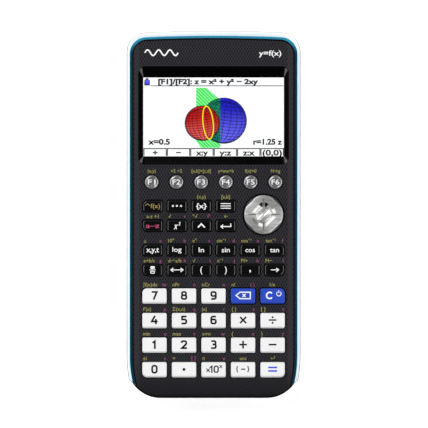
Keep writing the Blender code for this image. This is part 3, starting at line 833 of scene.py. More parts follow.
def make_rear_shell():
    sections = [(rear_outline(inset), BACK + drop)
                for inset, drop in reversed(rounding(10, BACK_ROUND_WIDTH, BACK_ROUND_HEIGHT))]
    sections += [(rear_outline(inset), REAR_TOP - drop) for inset, drop in rounding(4, 0.8, 0.8)]
    sections += [
        (rear_outline(SHELL_WALL + LEDGE_LIP), REAR_TOP),
        (rear_outline(SHELL_WALL + LEDGE_LIP), REAR_TOP - LEDGE_DEPTH),
        (rear_outline(SHELL_WALL), REAR_TOP - LEDGE_DEPTH),
        (rear_outline(SHELL_WALL), FLOOR + BACK_ROUND_HEIGHT - 1.0),
        (rear_outline(SHELL_WALL + BACK_ROUND_WIDTH - 1.0), FLOOR),
    ]
    tray = bmesh.new()
    loft(tray, sections)

    below = BACK - 1.0
    under_wall = BACK + 0.7
    boss = ((3.3, under_wall), (3.3, 6.3), (3.1, 6.5))
    screw_hole = ((2.6, below), (2.6, 3.2), (1.3, 3.2), (1.3, 7.5))
    foot_seat = ((4.1, below), (4.1, BACK + 0.4))
    restart_hole = ((0.9, below), (0.9, FLOOR + 1.0))
    data_socket = rounded_rect(-4.4, 4.4, -2.4, 2.4, 1.0)
    power_socket = circle(3.0, 32)
    socket_inner, socket_outer = 88.0, 96.0

    raised = bmesh.new()
    block(raised, -BAY_SIDE - BAY_WALL, BAY_SIDE + BAY_WALL, BAY_START - BAY_WALL, BAY_END + BAY_WALL,
          under_wall, BAY_ROOF)
    for x, y in mirrored(SCREWS):
        turned(raised, boss, x, y, 32)

    seat_x = COVER_SIDE + GAP
    seat_y = COVER_LENGTH / 2 + GAP
    cuts = bmesh.new()
    slab(cuts, rounded_rect(-seat_x, seat_x, BAY_Y - seat_y, BAY_Y + seat_y, 1.3), below, COVER_SEAT)
    for x, outline in ((-PORT_X, data_socket), (PORT_X, power_socket)):
        socket = bmesh.new()
        slab(socket, outline, socket_inner, socket_outer)
        socket.transform(Matrix(((1, 0, 0, x * MM), (0, 0, 1, 0), (0, -1, 0, PORT_Z * MM), (0, 0, 0, 1))))
        mesh = bpy.data.meshes.new("tool")
        socket.to_mesh(mesh)
        socket.free()
        cuts.from_mesh(mesh)
        bpy.data.meshes.remove(mesh)
    turned(cuts, restart_hole, *RESTART_HOLE, 24)
    for x, y in mirrored(SCREWS):
        turned(cuts, screw_hole, x, y, 32)
    for x, y in mirrored(FEET):
        turned(cuts, foot_seat, x, y, 40)
    bay = bmesh.new()
    block(bay, -BAY_SIDE, BAY_SIDE, BAY_START, BAY_END, BACK + 0.2, BAY_CEILING, 0.1)
    shell = carved("rear_shell", tray, [("UNION", raised), ("DIFFERENCE", cuts), ("DIFFERENCE", bay)])
    finish_piece(shell, ["white_shell"], "shell_white", replaces=["rear_case"])


def make_accent_band():
    """A band open at the chin: a section with a rounded edge, carried round the top and both flanks."""
    wider = 0.25
    shorter = 0.05
    soften = 0.35
    end_gap = 0.02

    def course(inset_side, inset_top):
        flank, _ = right_half(ACCENT_SIDE + wider - inset_side, ACCENT_TOP_EDGE - shorter - inset_top,
                              ACCENT_CORNER - inset_side, CHIN_RADIUS, JOIN_Y + end_gap)
        return list(reversed(flank)) + [(-x, y) for x, y in flank[1:]]

    inner = course(ACCENT_SIDE + wider - FRONT_SIDE + SKIRT_INSET - GAP,
                   ACCENT_TOP_EDGE - shorter - FRONT_TOP_EDGE + SKIRT_INSET - GAP)
    sections = [(course(0.0, 0.0), SKIRT_BOTTOM)]
    sections += [(course(inset, inset), ACCENT_TOP - drop) for inset, drop in rounding(4, soften, soften)]
    bm = bmesh.new()
    lines = rings_of(bm, sections + [(inner, ACCENT_TOP), (inner, SKIRT_BOTTOM)])
    walls(bm, lines + lines[:1], closed=False)
    cap(bm, [line[0] for line in lines])
    cap(bm, [line[-1] for line in reversed(lines)])
    piece("accent_band", bm, ["accent"], "accent_blue", replaces=["accent_frame"])


def corner_radii(name, grow):
    corners = ("top_right", "top_left", "bottom_left", "bottom_right")
    large = LARGE_CORNERS.get(name, "")
    return [max((CORNER_LARGE if c == large else CORNER) + grow, 0.25) for c in corners]


def key_bounds(name):
    """Edges and top of a key's cap, without the flange that stays under the face."""
    low, high = box_mm("key_" + name)
    return low.x + FLANGE_LIP, high.x - FLANGE_LIP, low.y + FLANGE_LIP, high.y - FLANGE_LIP, high.z


def key_outline(name, side, chin_end):
    """Cap outline moved in by side, but by chin_end at the end towards the chin."""
    x0, x1, y0, y1, _ = key_bounds(name)
    return rounded_rect(x0 + side, x1 - side, y0 + chin_end, y1 - side, corner_radii(name, -side))


def recess_ring(share, radius):
    """Outline of the sloping screen surround: 0 at the lit area, 1 at the face."""
    side = LIT_SIDE + (OPENING_SIDE - LIT_SIDE) * share
    bottom = LIT_BOTTOM + (OPENING_BOTTOM - LIT_BOTTOM) * share
    top = LIT_TOP + (OPENING_TOP - LIT_TOP) * share
    return rounded_rect(-side, side, bottom, top, radius, 12)


def opening_ring(distance):
    """Outline of the screen opening, moved outwards on both axes."""
    middle_y = (OPENING_BOTTOM + OPENING_TOP) / 2
    return [(x + math.copysign(distance, x), y + math.copysign(distance, y - middle_y))
            for x, y in recess_ring(1.0, OPENING_CORNER)]


def make_front_shell():
    """The face with its openings, the skirt below it and the posts for the screws."""
    bm = bmesh.new()
    gloss, painted_highlight_strip = 1, 2
    edge = reversed(rounding(5, 0.85, 0.6))
    outer = tube(bm, [(front_outline(inset), PANEL_TOP - drop) for inset, drop in edge], gloss)
    skirt = rings_of(bm, ((front_outline(0.0), ACCENT_TOP + GAP), (skirt_outline(0.0), ACCENT_TOP + GAP),
                          (skirt_outline(0.0), SKIRT_BOTTOM), (skirt_outline(SKIRT_WALL), SKIRT_BOTTOM),
                          (skirt_outline(SKIRT_WALL), PANEL_UNDERSIDE)))
    walls(bm, outer[-1:] + skirt)
    upper = [outer[0]]
    lower = [skirt[-1]]

    def hole(outline_at):
        """Opening through the face with a rounded upper edge; outline_at(grow) gives its outline."""
        edge = reversed(rounding(3, 0.22, 0.22))
        sections = [(outline_at(grow), PANEL_TOP - drop) for grow, drop in edge]
        rings = tube(bm, sections + [(outline_at(0.0), PANEL_UNDERSIDE)])
        upper.append(rings[0])
        lower.append(rings[-1])

    for name in NUMBER_KEYS + DARK_KEYS:
        x0, x1, y0, y1, _ = key_bounds(name)
        hole(lambda grow: rounded_rect(x0 - HOLE_GAP - grow, x1 + HOLE_GAP + grow, y0 - HOLE_GAP - grow,
                                       y1 + HOLE_GAP + grow, corner_radii(name, HOLE_GAP + grow)))
    for name in ROUND_KEYS:
        x0, x1, _, _, _ = key_bounds(name)
        hole(lambda grow: circle((x1 - x0) / 2 + HOLE_GAP + grow, 48, *middle_mm("key_" + name)))
    hole(lambda grow: circle(PAD_HOLE + grow, 72, *middle_mm("direction_pad")))

    soften = 0.25
    recess = rings_of(bm, (
        (opening_ring(soften), PANEL_TOP), (opening_ring(soften * 0.3), PANEL_TOP - soften * 0.3),
        (recess_ring(0.97, OPENING_CORNER), PANEL_TOP - soften), (recess_ring(0.0, 0.3), SLOPE_BOTTOM),
        (recess_ring(0.0, 0.3), WINDOW_POCKET), (window_outline(GAP), WINDOW_POCKET),
        (window_outline(GAP), PANEL_UNDERSIDE),
    ))
    walls(bm, recess[:2])
    walls(bm, recess[1:5], gloss)
    walls(bm, recess[4:])
    bm.faces.ensure_lookup_table()
    count = len(recess[0])
    # painted highlight: the middle of each rounded corner of the slope gets the lighter third material
    slope = bm.faces[-4 * count:-3 * count]
    for corner in range(4):
        for step in (4, 5, 6, 7):
            slope[count // 4 * corner + step].material_index = painted_highlight_strip
    fill(bm, upper + recess[:1])
    fill(bm, lower + recess[-1:])
    under = PANEL_UNDERSIDE + 0.2
    for x, y in mirrored(SCREWS):
        turned(bm, ((2.0, 6.9), (2.0, under), (0.9, under), (0.9, 6.9), (1.9, 6.85)), x, y, 24)
    piece("front_shell", bm, ["face", "gloss", "painted_highlight_strip"], "shell_dark", replaces=["front_case"])


def make_window():
    bm = bmesh.new()
    loft(bm, chamfered(lambda inset: window_outline(-inset), WINDOW_BOTTOM, WINDOW_TOP, 0.12))
    piece("window_pane", bm, ["window"], "window_clear", replaces=["screen_window"])


def make_battery_cover():
    """Cover plate with a thumb notch and grip ridges, two hooks at one end and a latch at the other."""
    y0 = BAY_Y - COVER_LENGTH / 2
    y1 = BAY_Y + COVER_LENGTH / 2
    edge = 0.25

    def plate(inset):
        return rounded_rect(-COVER_SIDE + inset, COVER_SIDE - inset, y0 + inset, y1 - inset, 1.0)

    bm = bmesh.new()
    rings = tube(bm, [(plate(edge), BACK), (plate(edge * 0.3), BACK + edge * 0.3),
                      (plate(0.0), BACK + edge), (plate(0.0), BACK + COVER_THICKNESS)])
    cap(bm, rings[-1])
    notch_y = y1 - 3.2
    pocket(bm, rings[0], rounded_rect(-6.0, 6.0, notch_y - 2.0, notch_y + 2.0, 1.9),
           rounded_rect(-5.6, 5.6, notch_y - 1.6, notch_y + 1.6, 1.5), BACK, BACK + 0.45)
    inside = BACK + COVER_THICKNESS - 0.2
    for x in (-12.0, 12.0):
        block(bm, x - 3.0, x + 3.0, BAY_START + 0.5, BAY_START + 1.5, inside, 3.4)
    block(bm, -4.5, 4.5, BAY_END - 1.6, BAY_END - 0.6, inside, 4.0)
    for i in range(5):
        y = notch_y - 6.0 - 1.6 * i
        stroke(bm, [(-5.0, y), (5.0, y)], 0.5, BACK + 0.1, BACK - 0.18)
    piece("cover_plate", bm, ["white_shell"], "shell_white", body="battery_cover",
          replaces=["battery_cover"])


# ---------------------------------------------------------------- keys

def paint_shade_below(bm, height):
    """Second material, a near-black painted shade, for the faces whose middle lies below a height."""
    for face in bm.faces:
        if face.calc_center_median().z < height * MM:
            face.material_index = 1


def finish_key(name, bm, material, slot):
    piece("cap_" + name, bm, [material, "flange"], slot, body="key_" + name, replaces=["key_" + name])


def make_key_cap(name, material, profile):
    """Cap on its flange, painted near-black as the shade in the gap round the cap.

    The profile gives insets at the sides and at the chin end, and the drop below the top."""
    top = key_bounds(name)[4]
    lip = key_outline(name, -FLANGE_LIP, -FLANGE_LIP)
    sections = [(lip, box_mm("key_" + name)[0].z), (lip, FLANGE_TOP)]
    sections.append((key_outline(name, 0.0, 0.0), FLANGE_TOP))
    sections += [(key_outline(name, side, chin_end), top - drop) for side, chin_end, drop in profile]
    bm = bmesh.new()
    loft(bm, sections)
    # painted shade on the flange
    paint_shade_below(bm, top - 1.6)
    finish_key(name, bm, material, material)


def make_round_cap(name):
    """Plated cap: a domed rim round a shallow dished disc."""
    x0, x1, _, _, top = key_bounds(name)
    r = (x1 - x0) / 2
    rim = (
        (0.0, 0.85), (0.07, 0.58), (0.2, 0.38), (0.42, 0.22), (0.7, 0.09), (0.88, 0.02), (1.0, 0.0),
        (1.15, 0.02), (1.5, 0.08), (1.9, 0.14), (2.5, 0.18), (3.2, 0.19),
    )
    profile = [(r + FLANGE_LIP, box_mm("key_" + name)[0].z), (r + FLANGE_LIP, FLANGE_TOP), (r, FLANGE_TOP)]
    profile += [(r - inset, top - drop) for inset, drop in rim]
    bm = bmesh.new()
    turned(bm, profile, *middle_mm("key_" + name))
    # painted shade on the flange below the rim
    paint_shade_below(bm, top - 0.8)
    finish_key(name, bm, "plating", "key_silver")


def make_keys():
    soft = ((0.0, 0.0, 1.5), (0.0, 0.08, 1.25), (0.03, 0.35, 0.78), (0.08, 0.65, 0.36), (0.15, 0.88, 0.15),
            (0.27, 1.1, 0.05), (0.45, 1.45, 0.0))
    chamfered = ((0.0, 0.0, 0.62), (0.05, 0.05, 0.45), (0.16, 0.18, 0.31), (0.62, 0.72, 0.055),
                 (0.86, 0.98, 0.0))
    for name in NUMBER_KEYS:
        make_key_cap(name, "key_blue" if name in BLUE_KEYS else "key_white", soft)
    for name in DARK_KEYS:
        make_key_cap(name, "key_dark", chamfered)
    for name in ROUND_KEYS:
        make_round_cap(name)


# ---------------------------------------------------------------- direction pad

def pad_ring(radius, flat):
    """Circle with flats across its diagonals; each quarter has points on the flat's ends and middle."""
    angles = []
    corner = 45.0 - math.degrees(math.acos(PAD_FLAT / PAD_RADIUS))
    for quarter in range(4):
        angles += [90.0 * quarter - corner + 2.0 * corner * i / 6 for i in range(6)]
        angles += [90.0 * quarter + corner + (90.0 - 2.0 * corner) * i / 8 for i in range(8)]
    points = []
    for a in map(math.radians, angles):
        off_diagonal = abs((a % (math.pi / 2)) - math.pi / 4)
        r = min(radius, flat / math.cos(off_diagonal))
        points.append((r * math.cos(a), r * math.sin(a)))
    return points


def diamond_ring(reach):
    """Diamond with its corners on the axes cut round, at the same angles as pad_ring."""
    points = []
    for x, y in pad_ring(1.0, 2.0):
        r = min(reach / (abs(x) + abs(y)), reach - DIMPLE_ROUND)
        points.append((x * r, y * r))
    return points


def make_pad():
    """Round pad with a diamond dimple and a split disc in it, dark lines of painted shade along its creases,
    and marks printed on it.
    """
    x, y = middle_mm("direction_pad")
    low, high = box_mm("direction_pad")
    top = high.z
    bed = top - DIMPLE_DEPTH
    ledge = top - 0.85

    def face_height(amount):
        """Height over or under the pad's upper face, at any point."""
        def height(px, py):
            across, along = px - x, py - y
            reach = max(abs(across) + abs(along), math.hypot(across, along) + DIMPLE_ROUND)
            share = (DIMPLE_OUTER - reach) / (DIMPLE_OUTER - DIMPLE_INNER)
            return top - DIMPLE_DEPTH * min(1.0, max(0.0, share)) + amount
        return height

    # Radius, distance of the flats and height of each ring, from the flange up to the dimple
    rim = (
        (PAD_FLANGE, PAD_FLANGE, low.z), (PAD_FLANGE, PAD_FLANGE, low.z + 0.6),
        (PAD_RADIUS, PAD_FLANGE, low.z + 0.6), (PAD_RADIUS, PAD_FLANGE, ledge - 0.25),
        (PAD_RADIUS - 0.07, PAD_FLANGE, ledge - 0.07), (PAD_RADIUS - 0.25, PAD_FLANGE, ledge),
        (PAD_RADIUS - 0.25, PAD_FLAT + 0.1, ledge), (PAD_RADIUS - 0.25, PAD_FLAT, ledge + 0.05),
        (PAD_RADIUS - 0.27, PAD_FLAT - 0.02, top - 0.4), (PAD_RADIUS - 0.4, PAD_FLAT - 0.12, top - 0.2),
        (PAD_RADIUS - 0.75, PAD_FLAT - 0.38, top - 0.04), (PAD_RADIUS - 1.05, PAD_FLAT - 0.6, top),
    )
    dimple = ((DIMPLE_OUTER + 0.12, top), (DIMPLE_OUTER - 0.1, top - 0.05),
              (DIMPLE_INNER + 0.15, bed + 0.04), (DIMPLE_INNER - 0.15, bed))
    sections = [(moved(pad_ring(radius, flat), x, y), z) for radius, flat, z in rim]
    sections += [(moved(diamond_ring(reach), x, y), z) for reach, z in dimple]
    bm = bmesh.new()
    loft(bm, sections)
    halves = ((0.0, -0.2), (0.0, 0.3), (0.1, 0.42), (0.65, 0.62), (1.1, 0.66))
    for angle in (45.0, 225.0):
        loft(bm, [(rotated(half_disc(inset), angle, x, y), bed + rise) for inset, rise in halves])
    # painted shade on the flange and lower wall below the ledge
    paint_shade_below(bm, ledge - 0.3)
    # painted shade: the lower ledge round the pad gets the darker third material
    for face in bm.faces:
        if ledge - 0.3 < face.calc_center_median().z / MM < ledge + 0.02:
            face.material_index = 2
    piece("pad_cap", bm, ["pad", "flange", "ledge_shade"], "pad_silver", body="direction_pad",
          replaces=["direction_pad"], sharp=22.0)

    # painted shade: dark lines along the dimple's corner creases, with raised lines of the pad's plating
    # beside them
    dark, light, marks = bmesh.new(), bmesh.new(), bmesh.new()
    for quarter in range(4):
        for bm, aside, width in ((dark, 0.0, 0.4), (light, -0.4, 0.34)):
            line = [(along, aside) for along in (4.3, 5.3, 6.35, 8.1)]
            stroke(bm, rotated(line, 90.0 * quarter, x, y), width, face_height(-0.2), face_height(0.035))
    patch = [(0.5, 6.35), (1.3, 6.2), (2.5, 5.3), (2.4, 4.95), (1.8, 4.55), (1.3, 4.0), (0.5, 4.3)]
    for side in (1, -1):
        outline = [(x + side * px, y + py) for px, py in patch]
        slab(marks, outline, face_height(-0.2), face_height(0.04))
    piece("pad_creases", dark, ["ink_grey"], "pad_silver", body="direction_pad")
    piece("pad_crease_edges", light, ["pad"], "pad_silver", body="direction_pad")
    piece("pad_marks", marks, ["ink_dark"], "legend_dark", body="direction_pad")


def half_disc(inset):
    """Half of the disc in the middle of the dimple, over the groove between its halves."""
    radius = 4.0 - inset
    start = math.degrees(math.asin((0.14 + inset) / radius))
    return [(px, min(py, 3.65 - inset)) for px, py in arc(0.0, 0.0, radius, start, 180.0 - start, 24)]


# ---------------------------------------------------------------- legends

def loop(side, low, high, radius):
    """Closed upright loop."""
    return [(side, low, radius), (side, high, radius), (-side, high, radius), (-side, low, radius)], True


def path(*corners):
    return corners, False


# Strokes of each digit, with corners as x, y and any rounding, from the digit's middle
DIGITS = {
    "0": [loop(1.18, -1.8, 1.8, 1.15)],
    "1": [path((-0.95, 0.95), (0.2, 1.75), (0.2, -2.17))],
    "2": [path((-1.15, 0.85), (-1.15, 1.8, 1.1), (1.15, 1.8, 1.1), (1.15, 0.3, 0.5), (-1.05, -1.8),
               (1.5, -1.8))],
    "3": [path((-1.2, 1.8), (1.05, 1.8, 0.9), (1.05, 0.1, 0.8), (-0.5, 0.1)),
          path((-0.5, 0.1), (1.18, 0.1, 0.9), (1.18, -1.8, 1.0), (-1.3, -1.8))],
    "4": [path((0.25, 2.17), (-1.4, -0.75), (1.65, -0.75)), path((0.72, 0.5), (0.72, -2.17))],
    "5": [path((1.3, 1.8), (-1.0, 1.8), (-1.0, 0.28), (1.18, 0.28, 1.0), (1.18, -1.8, 1.0), (-1.3, -1.8))],
    "6": [path((1.2, 1.8), (-1.18, 1.8, 1.05), (-1.18, -0.8)), loop(1.18, -1.8, 0.3, 0.95)],
    "7": [path((-1.4, 1.8), (1.2, 1.8), (-0.45, -2.17))],
    "8": [loop(1.05, 0.1, 1.8, 0.8), loop(1.18, -1.8, 0.1, 0.9)],
    "9": [path((-1.2, -1.8), (1.18, -1.8, 1.05), (1.18, 0.8)), loop(1.18, -0.3, 1.8, 0.95)],
}


def bent(corners):
    """Points through corners, each rounded as much as its third number says, if it has one."""
    points = []
    for i, (x, y, *radius) in enumerate(corners):
        here = Vector((x, y))
        if not radius:
            points.append((x, y))
            continue
        before = Vector(corners[i - 1][:2]) - here
        after = Vector(corners[(i + 1) % len(corners)][:2]) - here
        reach = min(*radius, before.length * 0.495, after.length * 0.495)
        for t in (k / 6 for k in range(7)):
            pull = before.normalized() * (1.0 - t) ** 2 + after.normalized() * t ** 2
            points.append(tuple(here + pull * reach))
    return points


# Each mark on a key is a list of strokes: points from the key's middle, width and whether it closes
def digit_mark(digit, x=0.0, y=0.0, size=1.0, width=0.92):
    return [([(x + px * size, y + py * size) for px, py in bent(corners)], width, closed)
            for corners, closed in DIGITS[digit]]


def line(width, *points):
    return list(points), width, False


def bar(half, width, x=0.0, y=0.0):
    return line(width, (x - half, y), (x + half, y))


def cross_mark(x=0.0, y=0.0, size=1.0, width=0.84):
    return [line(width, (x - 1.55 * size, y - 1.6 * side * size), (x + 1.55 * size, y + 1.6 * side * size))
            for side in (1, -1)]


def round_dot(radius, steps, width, y):
    return circle(radius, steps, 0.0, y), width, True


def bracket(side):
    bow = arc(-side * 0.2, 0.0, 3.0, -32.0, 32.0, 12)
    return line(0.5, *((side * px, py) for px, py in bow))


MARKS = {
    "add": [bar(1.95, 0.84), line(0.84, (0.0, 0.43), (0.0, 1.95)), line(0.84, (0.0, -1.95), (0.0, -0.43))],
    "subtract": [bar(1.95, 0.84)],
    "multiply": cross_mark(),
    "divide": [bar(1.95, 0.76), round_dot(0.26, 16, 0.5, 1.45), round_dot(0.26, 16, 0.5, -1.45)],
    "point": [round_dot(0.38, 20, 0.75, -0.1)],
    "exponent": cross_mark(-2.85, -0.55, 0.55, 0.5) + digit_mark("1", -1.05, 0.0, 0.86, 0.68)
    + digit_mark("0", 1.35, 0.0, 0.86, 0.68) + cross_mark(3.7, 1.35, 0.4, 0.4),
    "negate": [bar(1.0, 0.6), bracket(1), bracket(-1)],
    "execute": [bar(2.3, 0.8, 0.0, 0.9), bar(2.3, 0.8, 0.0, -0.9)],
    "delete": [
        ([(3.7, -1.65), (3.7, 1.65), (-1.6, 1.65), (-3.6, 0.0), (-1.6, -1.65)], 0.62, True),
        line(0.55, (-0.3, -0.8), (1.3, 0.8)), line(0.55, (-0.3, 0.8), (0.35, 0.15)),
        line(0.55, (0.65, -0.15), (1.3, -0.8)),
    ],
    "clear": [line(0.42, *arc(3.2, 0.9, 1.15, 125.0, 415.0, 20)), line(0.42, (3.2, 1.2), (3.2, 2.6))],
    "option": [bar(0.45, 0.9, x) for x in (-2.1, 0.0, 2.1)],
    "menu": [bar(2.6, 0.46, 0.0, y) for y in (-1.2, 0.0, 1.2)],
    "exit": [line(0.5, (2.6, 1.1), (2.6, -0.5), (-2.0, -0.5)),
             line(0.5, (-1.3, 0.45), (-2.5, -0.5), (-1.3, -1.45))],
    "power": [line(0.75, (-1.75, -0.95), (0.0, 0.85), (1.75, -0.95))],
    "fraction": [bar(1.5, 0.35), (rounded_rect(-0.95, 0.95, 0.7, 1.7, 0.3, 3), 0.42, True),
                 (rounded_rect(-0.95, 0.95, -1.7, -0.7, 0.3, 3), 0.42, True), bar(0.6, 0.9, 0.0, 1.2)],
    "convert": [bar(2.6, 0.45), line(0.5, (1.9, 1.0), (3.1, 0.0), (1.9, -1.0)),
                line(0.5, (-1.9, 1.0), (-3.1, 0.0), (-1.9, -1.0))],
    "store": [line(0.45, (-1.9, 0.0), (1.5, 0.0)), line(0.5, (0.9, 0.95), (2.1, 0.0), (0.9, -0.95))],
}
for digit in DIGITS:
    MARKS[digit] = digit_mark(digit)


def word(text, height, width, weight, dx=0.0, dy=0.0, shear=0.0):
    """Text, capital height, width, weight, offsets from the key's middle and shear."""
    return text, height, width, weight, dx, dy, shear


WORDS = {
    "shift": [word("↑f(x)", 2.3, 7.6, 0.006)],
    "alpha": [word("a–z", 2.4, 7.0, 0.008)],
    "variables": [word("{x}", 2.4, 5.4, 0.02)],
    "square": [word("x", 3.4, 2.1, 0.02, -0.6, -0.1, 0.25), word("2", 1.7, 1.1, 0.02, 1.25, 1.0, 0.2)],
    "variable_x": [word("x,y,t", 2.6, 6.6, 0.02, 0.0, 0.1)],
    "log": [word("log", 2.4, 4.7, 0.01, 0.0, 0.2)],
    "ln": [word("ln", 2.4, 2.8, 0.01)],
    "sin": [word("sin", 2.4, 4.2, 0.01)],
    "cos": [word("cos", 2.4, 4.9, 0.01)],
    "tan": [word("tan", 2.4, 4.7, 0.01)],
    "open_bracket": [word("(", 2.9, 1.1, 0.02, 0.0, 0.15)],
    "close_bracket": [word(")", 2.9, 1.1, 0.02, 0.0, 0.15)],
    "comma": [word(",", 3.2, 0.9, 0.03, 0.0, 0.9)],
    "clear": [word("C", 3.6, 3.3, 0.03, -1.9)],
}
LEGEND_COLORS = {"shift": "yellow", "alpha": "pink", "execute": "blue"}


def make_key_legends():
    number_lift = 0.35
    other_lift = 0.1
    for name in NUMBER_KEYS + DARK_KEYS:
        number = name in NUMBER_KEYS
        x, y = middle_mm("key_" + name)
        y += number_lift if number else other_lift
        top = key_bounds(name)[4]
        bottom = top - 0.1
        bm = bmesh.new()
        for text, height, width, weight, dx, dy, shear in WORDS.get(name, ()):
            lettering(bm, text, x + dx, y + dy, bottom, top + INK, height, width, weight, 0.0, shear)
        for i, (points, width, closed) in enumerate(MARKS.get(name, ()), 1):
            stroke(bm, moved(points, x, y), width, bottom, top + INK + LAYER * i, closed)
        plain = "dark" if number and name not in BLUE_KEYS else "white"
        color = LEGEND_COLORS.get(name, plain)
        piece("legend_" + name, bm, ["ink_" + color], "legend_" + color, body="key_" + name)
    for name in ROUND_KEYS:
        x, y = middle_mm("key_" + name)
        top = key_bounds(name)[4]
        bm = bmesh.new()
        lettering(bm, name.upper(), x, y, top - 0.3, top - 0.02, 2.5, 4.0, 0.012)
        piece("legend_" + name, bm, ["ink_white"], "legend_white", body="key_" + name)


# Small legends on the face over each key: yellow at its left, pink at its right
SECOND_LEGENDS = {
    "7": ("∫f(x)dx", "m"), "8": ("nPr", "n"), "9": ("nCr", "o"),
    "delete": ("n!", "( )"), "clear": ("1/x", ""),
    "4": ("f′(x)", "p"), "5": ("Σ(x,n)", "q"), "6": ("|x|", "r"),
    "multiply": ("{ }", "s"), "divide": ("[ ]", "t"),
    "1": ("min", "u"), "2": ("max", "v"), "3": ("x≠n", "w"),
    "add": ("{", "x"), "subtract": ("}", "y"),
    "0": ("±i", "z"), "point": ("=", "[ ]"), "exponent": ("π", "e"),
    "negate": ("ans", ""), "execute": ("↵", ""),
    "variables": ("(x,y)", ""), "menu": ("[a,b]", ""),
    "alpha": ("a-z +1", ""), "square": ("√", "r"), "power": ("ˣ√", "θ"), "exit": ("←", ""),
    "variable_x": ("∠", "a"), "log": ("10ˣ", "b"), "ln": ("eˣ", "c"),
    "sin": ("sin⁻¹", "d"), "cos": ("cos⁻¹", "e"), "tan": ("tan⁻¹", "f"),
    "fraction": ("a+b/c", "g"), "convert": ("d→a/b", "h"), "open_bracket": ("√", "i"),
    "close_bracket": ("x⁻¹", "j"), "comma": ("M+", "k"), "store": ("M−", "l"),
    "f1": ("(x,y)", ""), "f2": ("×2 ÷2", ""), "f3": ("[a,b]×[c,d]", ""),
    "f4": ("y=mx+b", ""), "f5": ("f(x)=0", ""), "f6": ("f↔g", ""),
}


def make_face_legends():
    """Printing on the face, one piece for each colour."""
    bottom = PANEL_TOP - 0.1
    above = PANEL_TOP + INK
    yellow, pink, white = bmesh.new(), bmesh.new(), bmesh.new()
    for name, (left, right) in SECOND_LEGENDS.items():
        x0, x1, _, y1, _ = key_bounds(name)
        middle, _ = middle_mm("key_" + name)
        y = y1 + 1.9
        if name in ROUND_KEYS:
            lettering(yellow, left, middle, y + 0.25, bottom, above, 1.65)
        elif right:
            lettering(yellow, left, x0 + 0.4, y, bottom, above, 1.8, align=-1.0)
            lettering(pink, right, x1 - 0.4, y, bottom, above, 1.8, weight=0.008, align=1.0)
        else:
            lettering(yellow, left, middle, y, bottom, above, 1.8)
    start, length, middle_y, reach, steps = -35.4, 17.2, 83.2, 1.45, 72
    wave = [(start + length * i / steps, middle_y + reach * math.sin(math.radians(1080.0 * i / steps)))
            for i in range(steps + 1)]
    stroke(white, wave, 0.75, bottom, above)
    lettering(white, "y=f(x)", 34.9, 83.0, bottom, above, 2.6, 11.6, 0.016, 1.0)
    for color, bm in (("yellow", yellow), ("pink", pink), ("white", white)):
        piece("face_legends_" + color, bm, ["ink_face_" + color], "legend_" + color)


# ---------------------------------------------------------------- screen

def make_lcd():
    """Display module: a dark frame round the lit panel."""
    low, high = box_mm("lcd_module")

    def frame_outline(inset):
        return rounded_rect(low.x + inset, high.x - inset, low.y + inset, high.y - inset, 0.8)

    bm = bmesh.new()
    rings = tube(bm, chamfered(frame_outline, low.z, high.z, 0.2))
    cap(bm, list(reversed(rings[0])))
    beyond = 0.2
    lit_edge = ring(bm, rounded_rect(-LIT_SIDE - beyond, LIT_SIDE + beyond, LIT_BOTTOM - beyond,
                                     LIT_TOP + beyond, 0.1), high.z)
    bridge(bm, rings[-1], lit_edge)
    cap(bm, lit_edge, 1)
    piece("display_module", bm, ["lcd_body", "backlight"], "lcd_panel", replaces=["lcd_module"])


def ball_lines(x, y, radius, tilt, bottom, top):
    """Meridians from a pole at the top, and parallels between them, on a ball seen from a little above."""
    bm = bmesh.new()
    width = 0.3
    count = 10
    sink = 0.14 * radius
    for i in range(1, count):
        across = radius * math.cos(math.pi * i / count)
        path = []
        for a in (math.radians(-90.0 + 180.0 * k / 16) for k in range(17)):
            py = radius * 0.995 * math.sin(a)
            lift = max(0.0, py) / radius
            path.append((across * math.cos(a), py - sink * lift ** 3))
        stroke(bm, rotated(path, tilt, x, y), width, bottom, top)
    for latitude in (0.145 * i for i in range(-5, 7)):
        reach = radius * math.sqrt(1.0 - latitude ** 2)
        path = [(reach * math.cos(a), radius * latitude + 0.12 * reach * math.sin(a))
                for a in (math.pi * (1.0 + k / 16) for k in range(17))]
        stroke(bm, rotated(path, tilt, x, y), width, bottom, top + LAYER)
    return bm


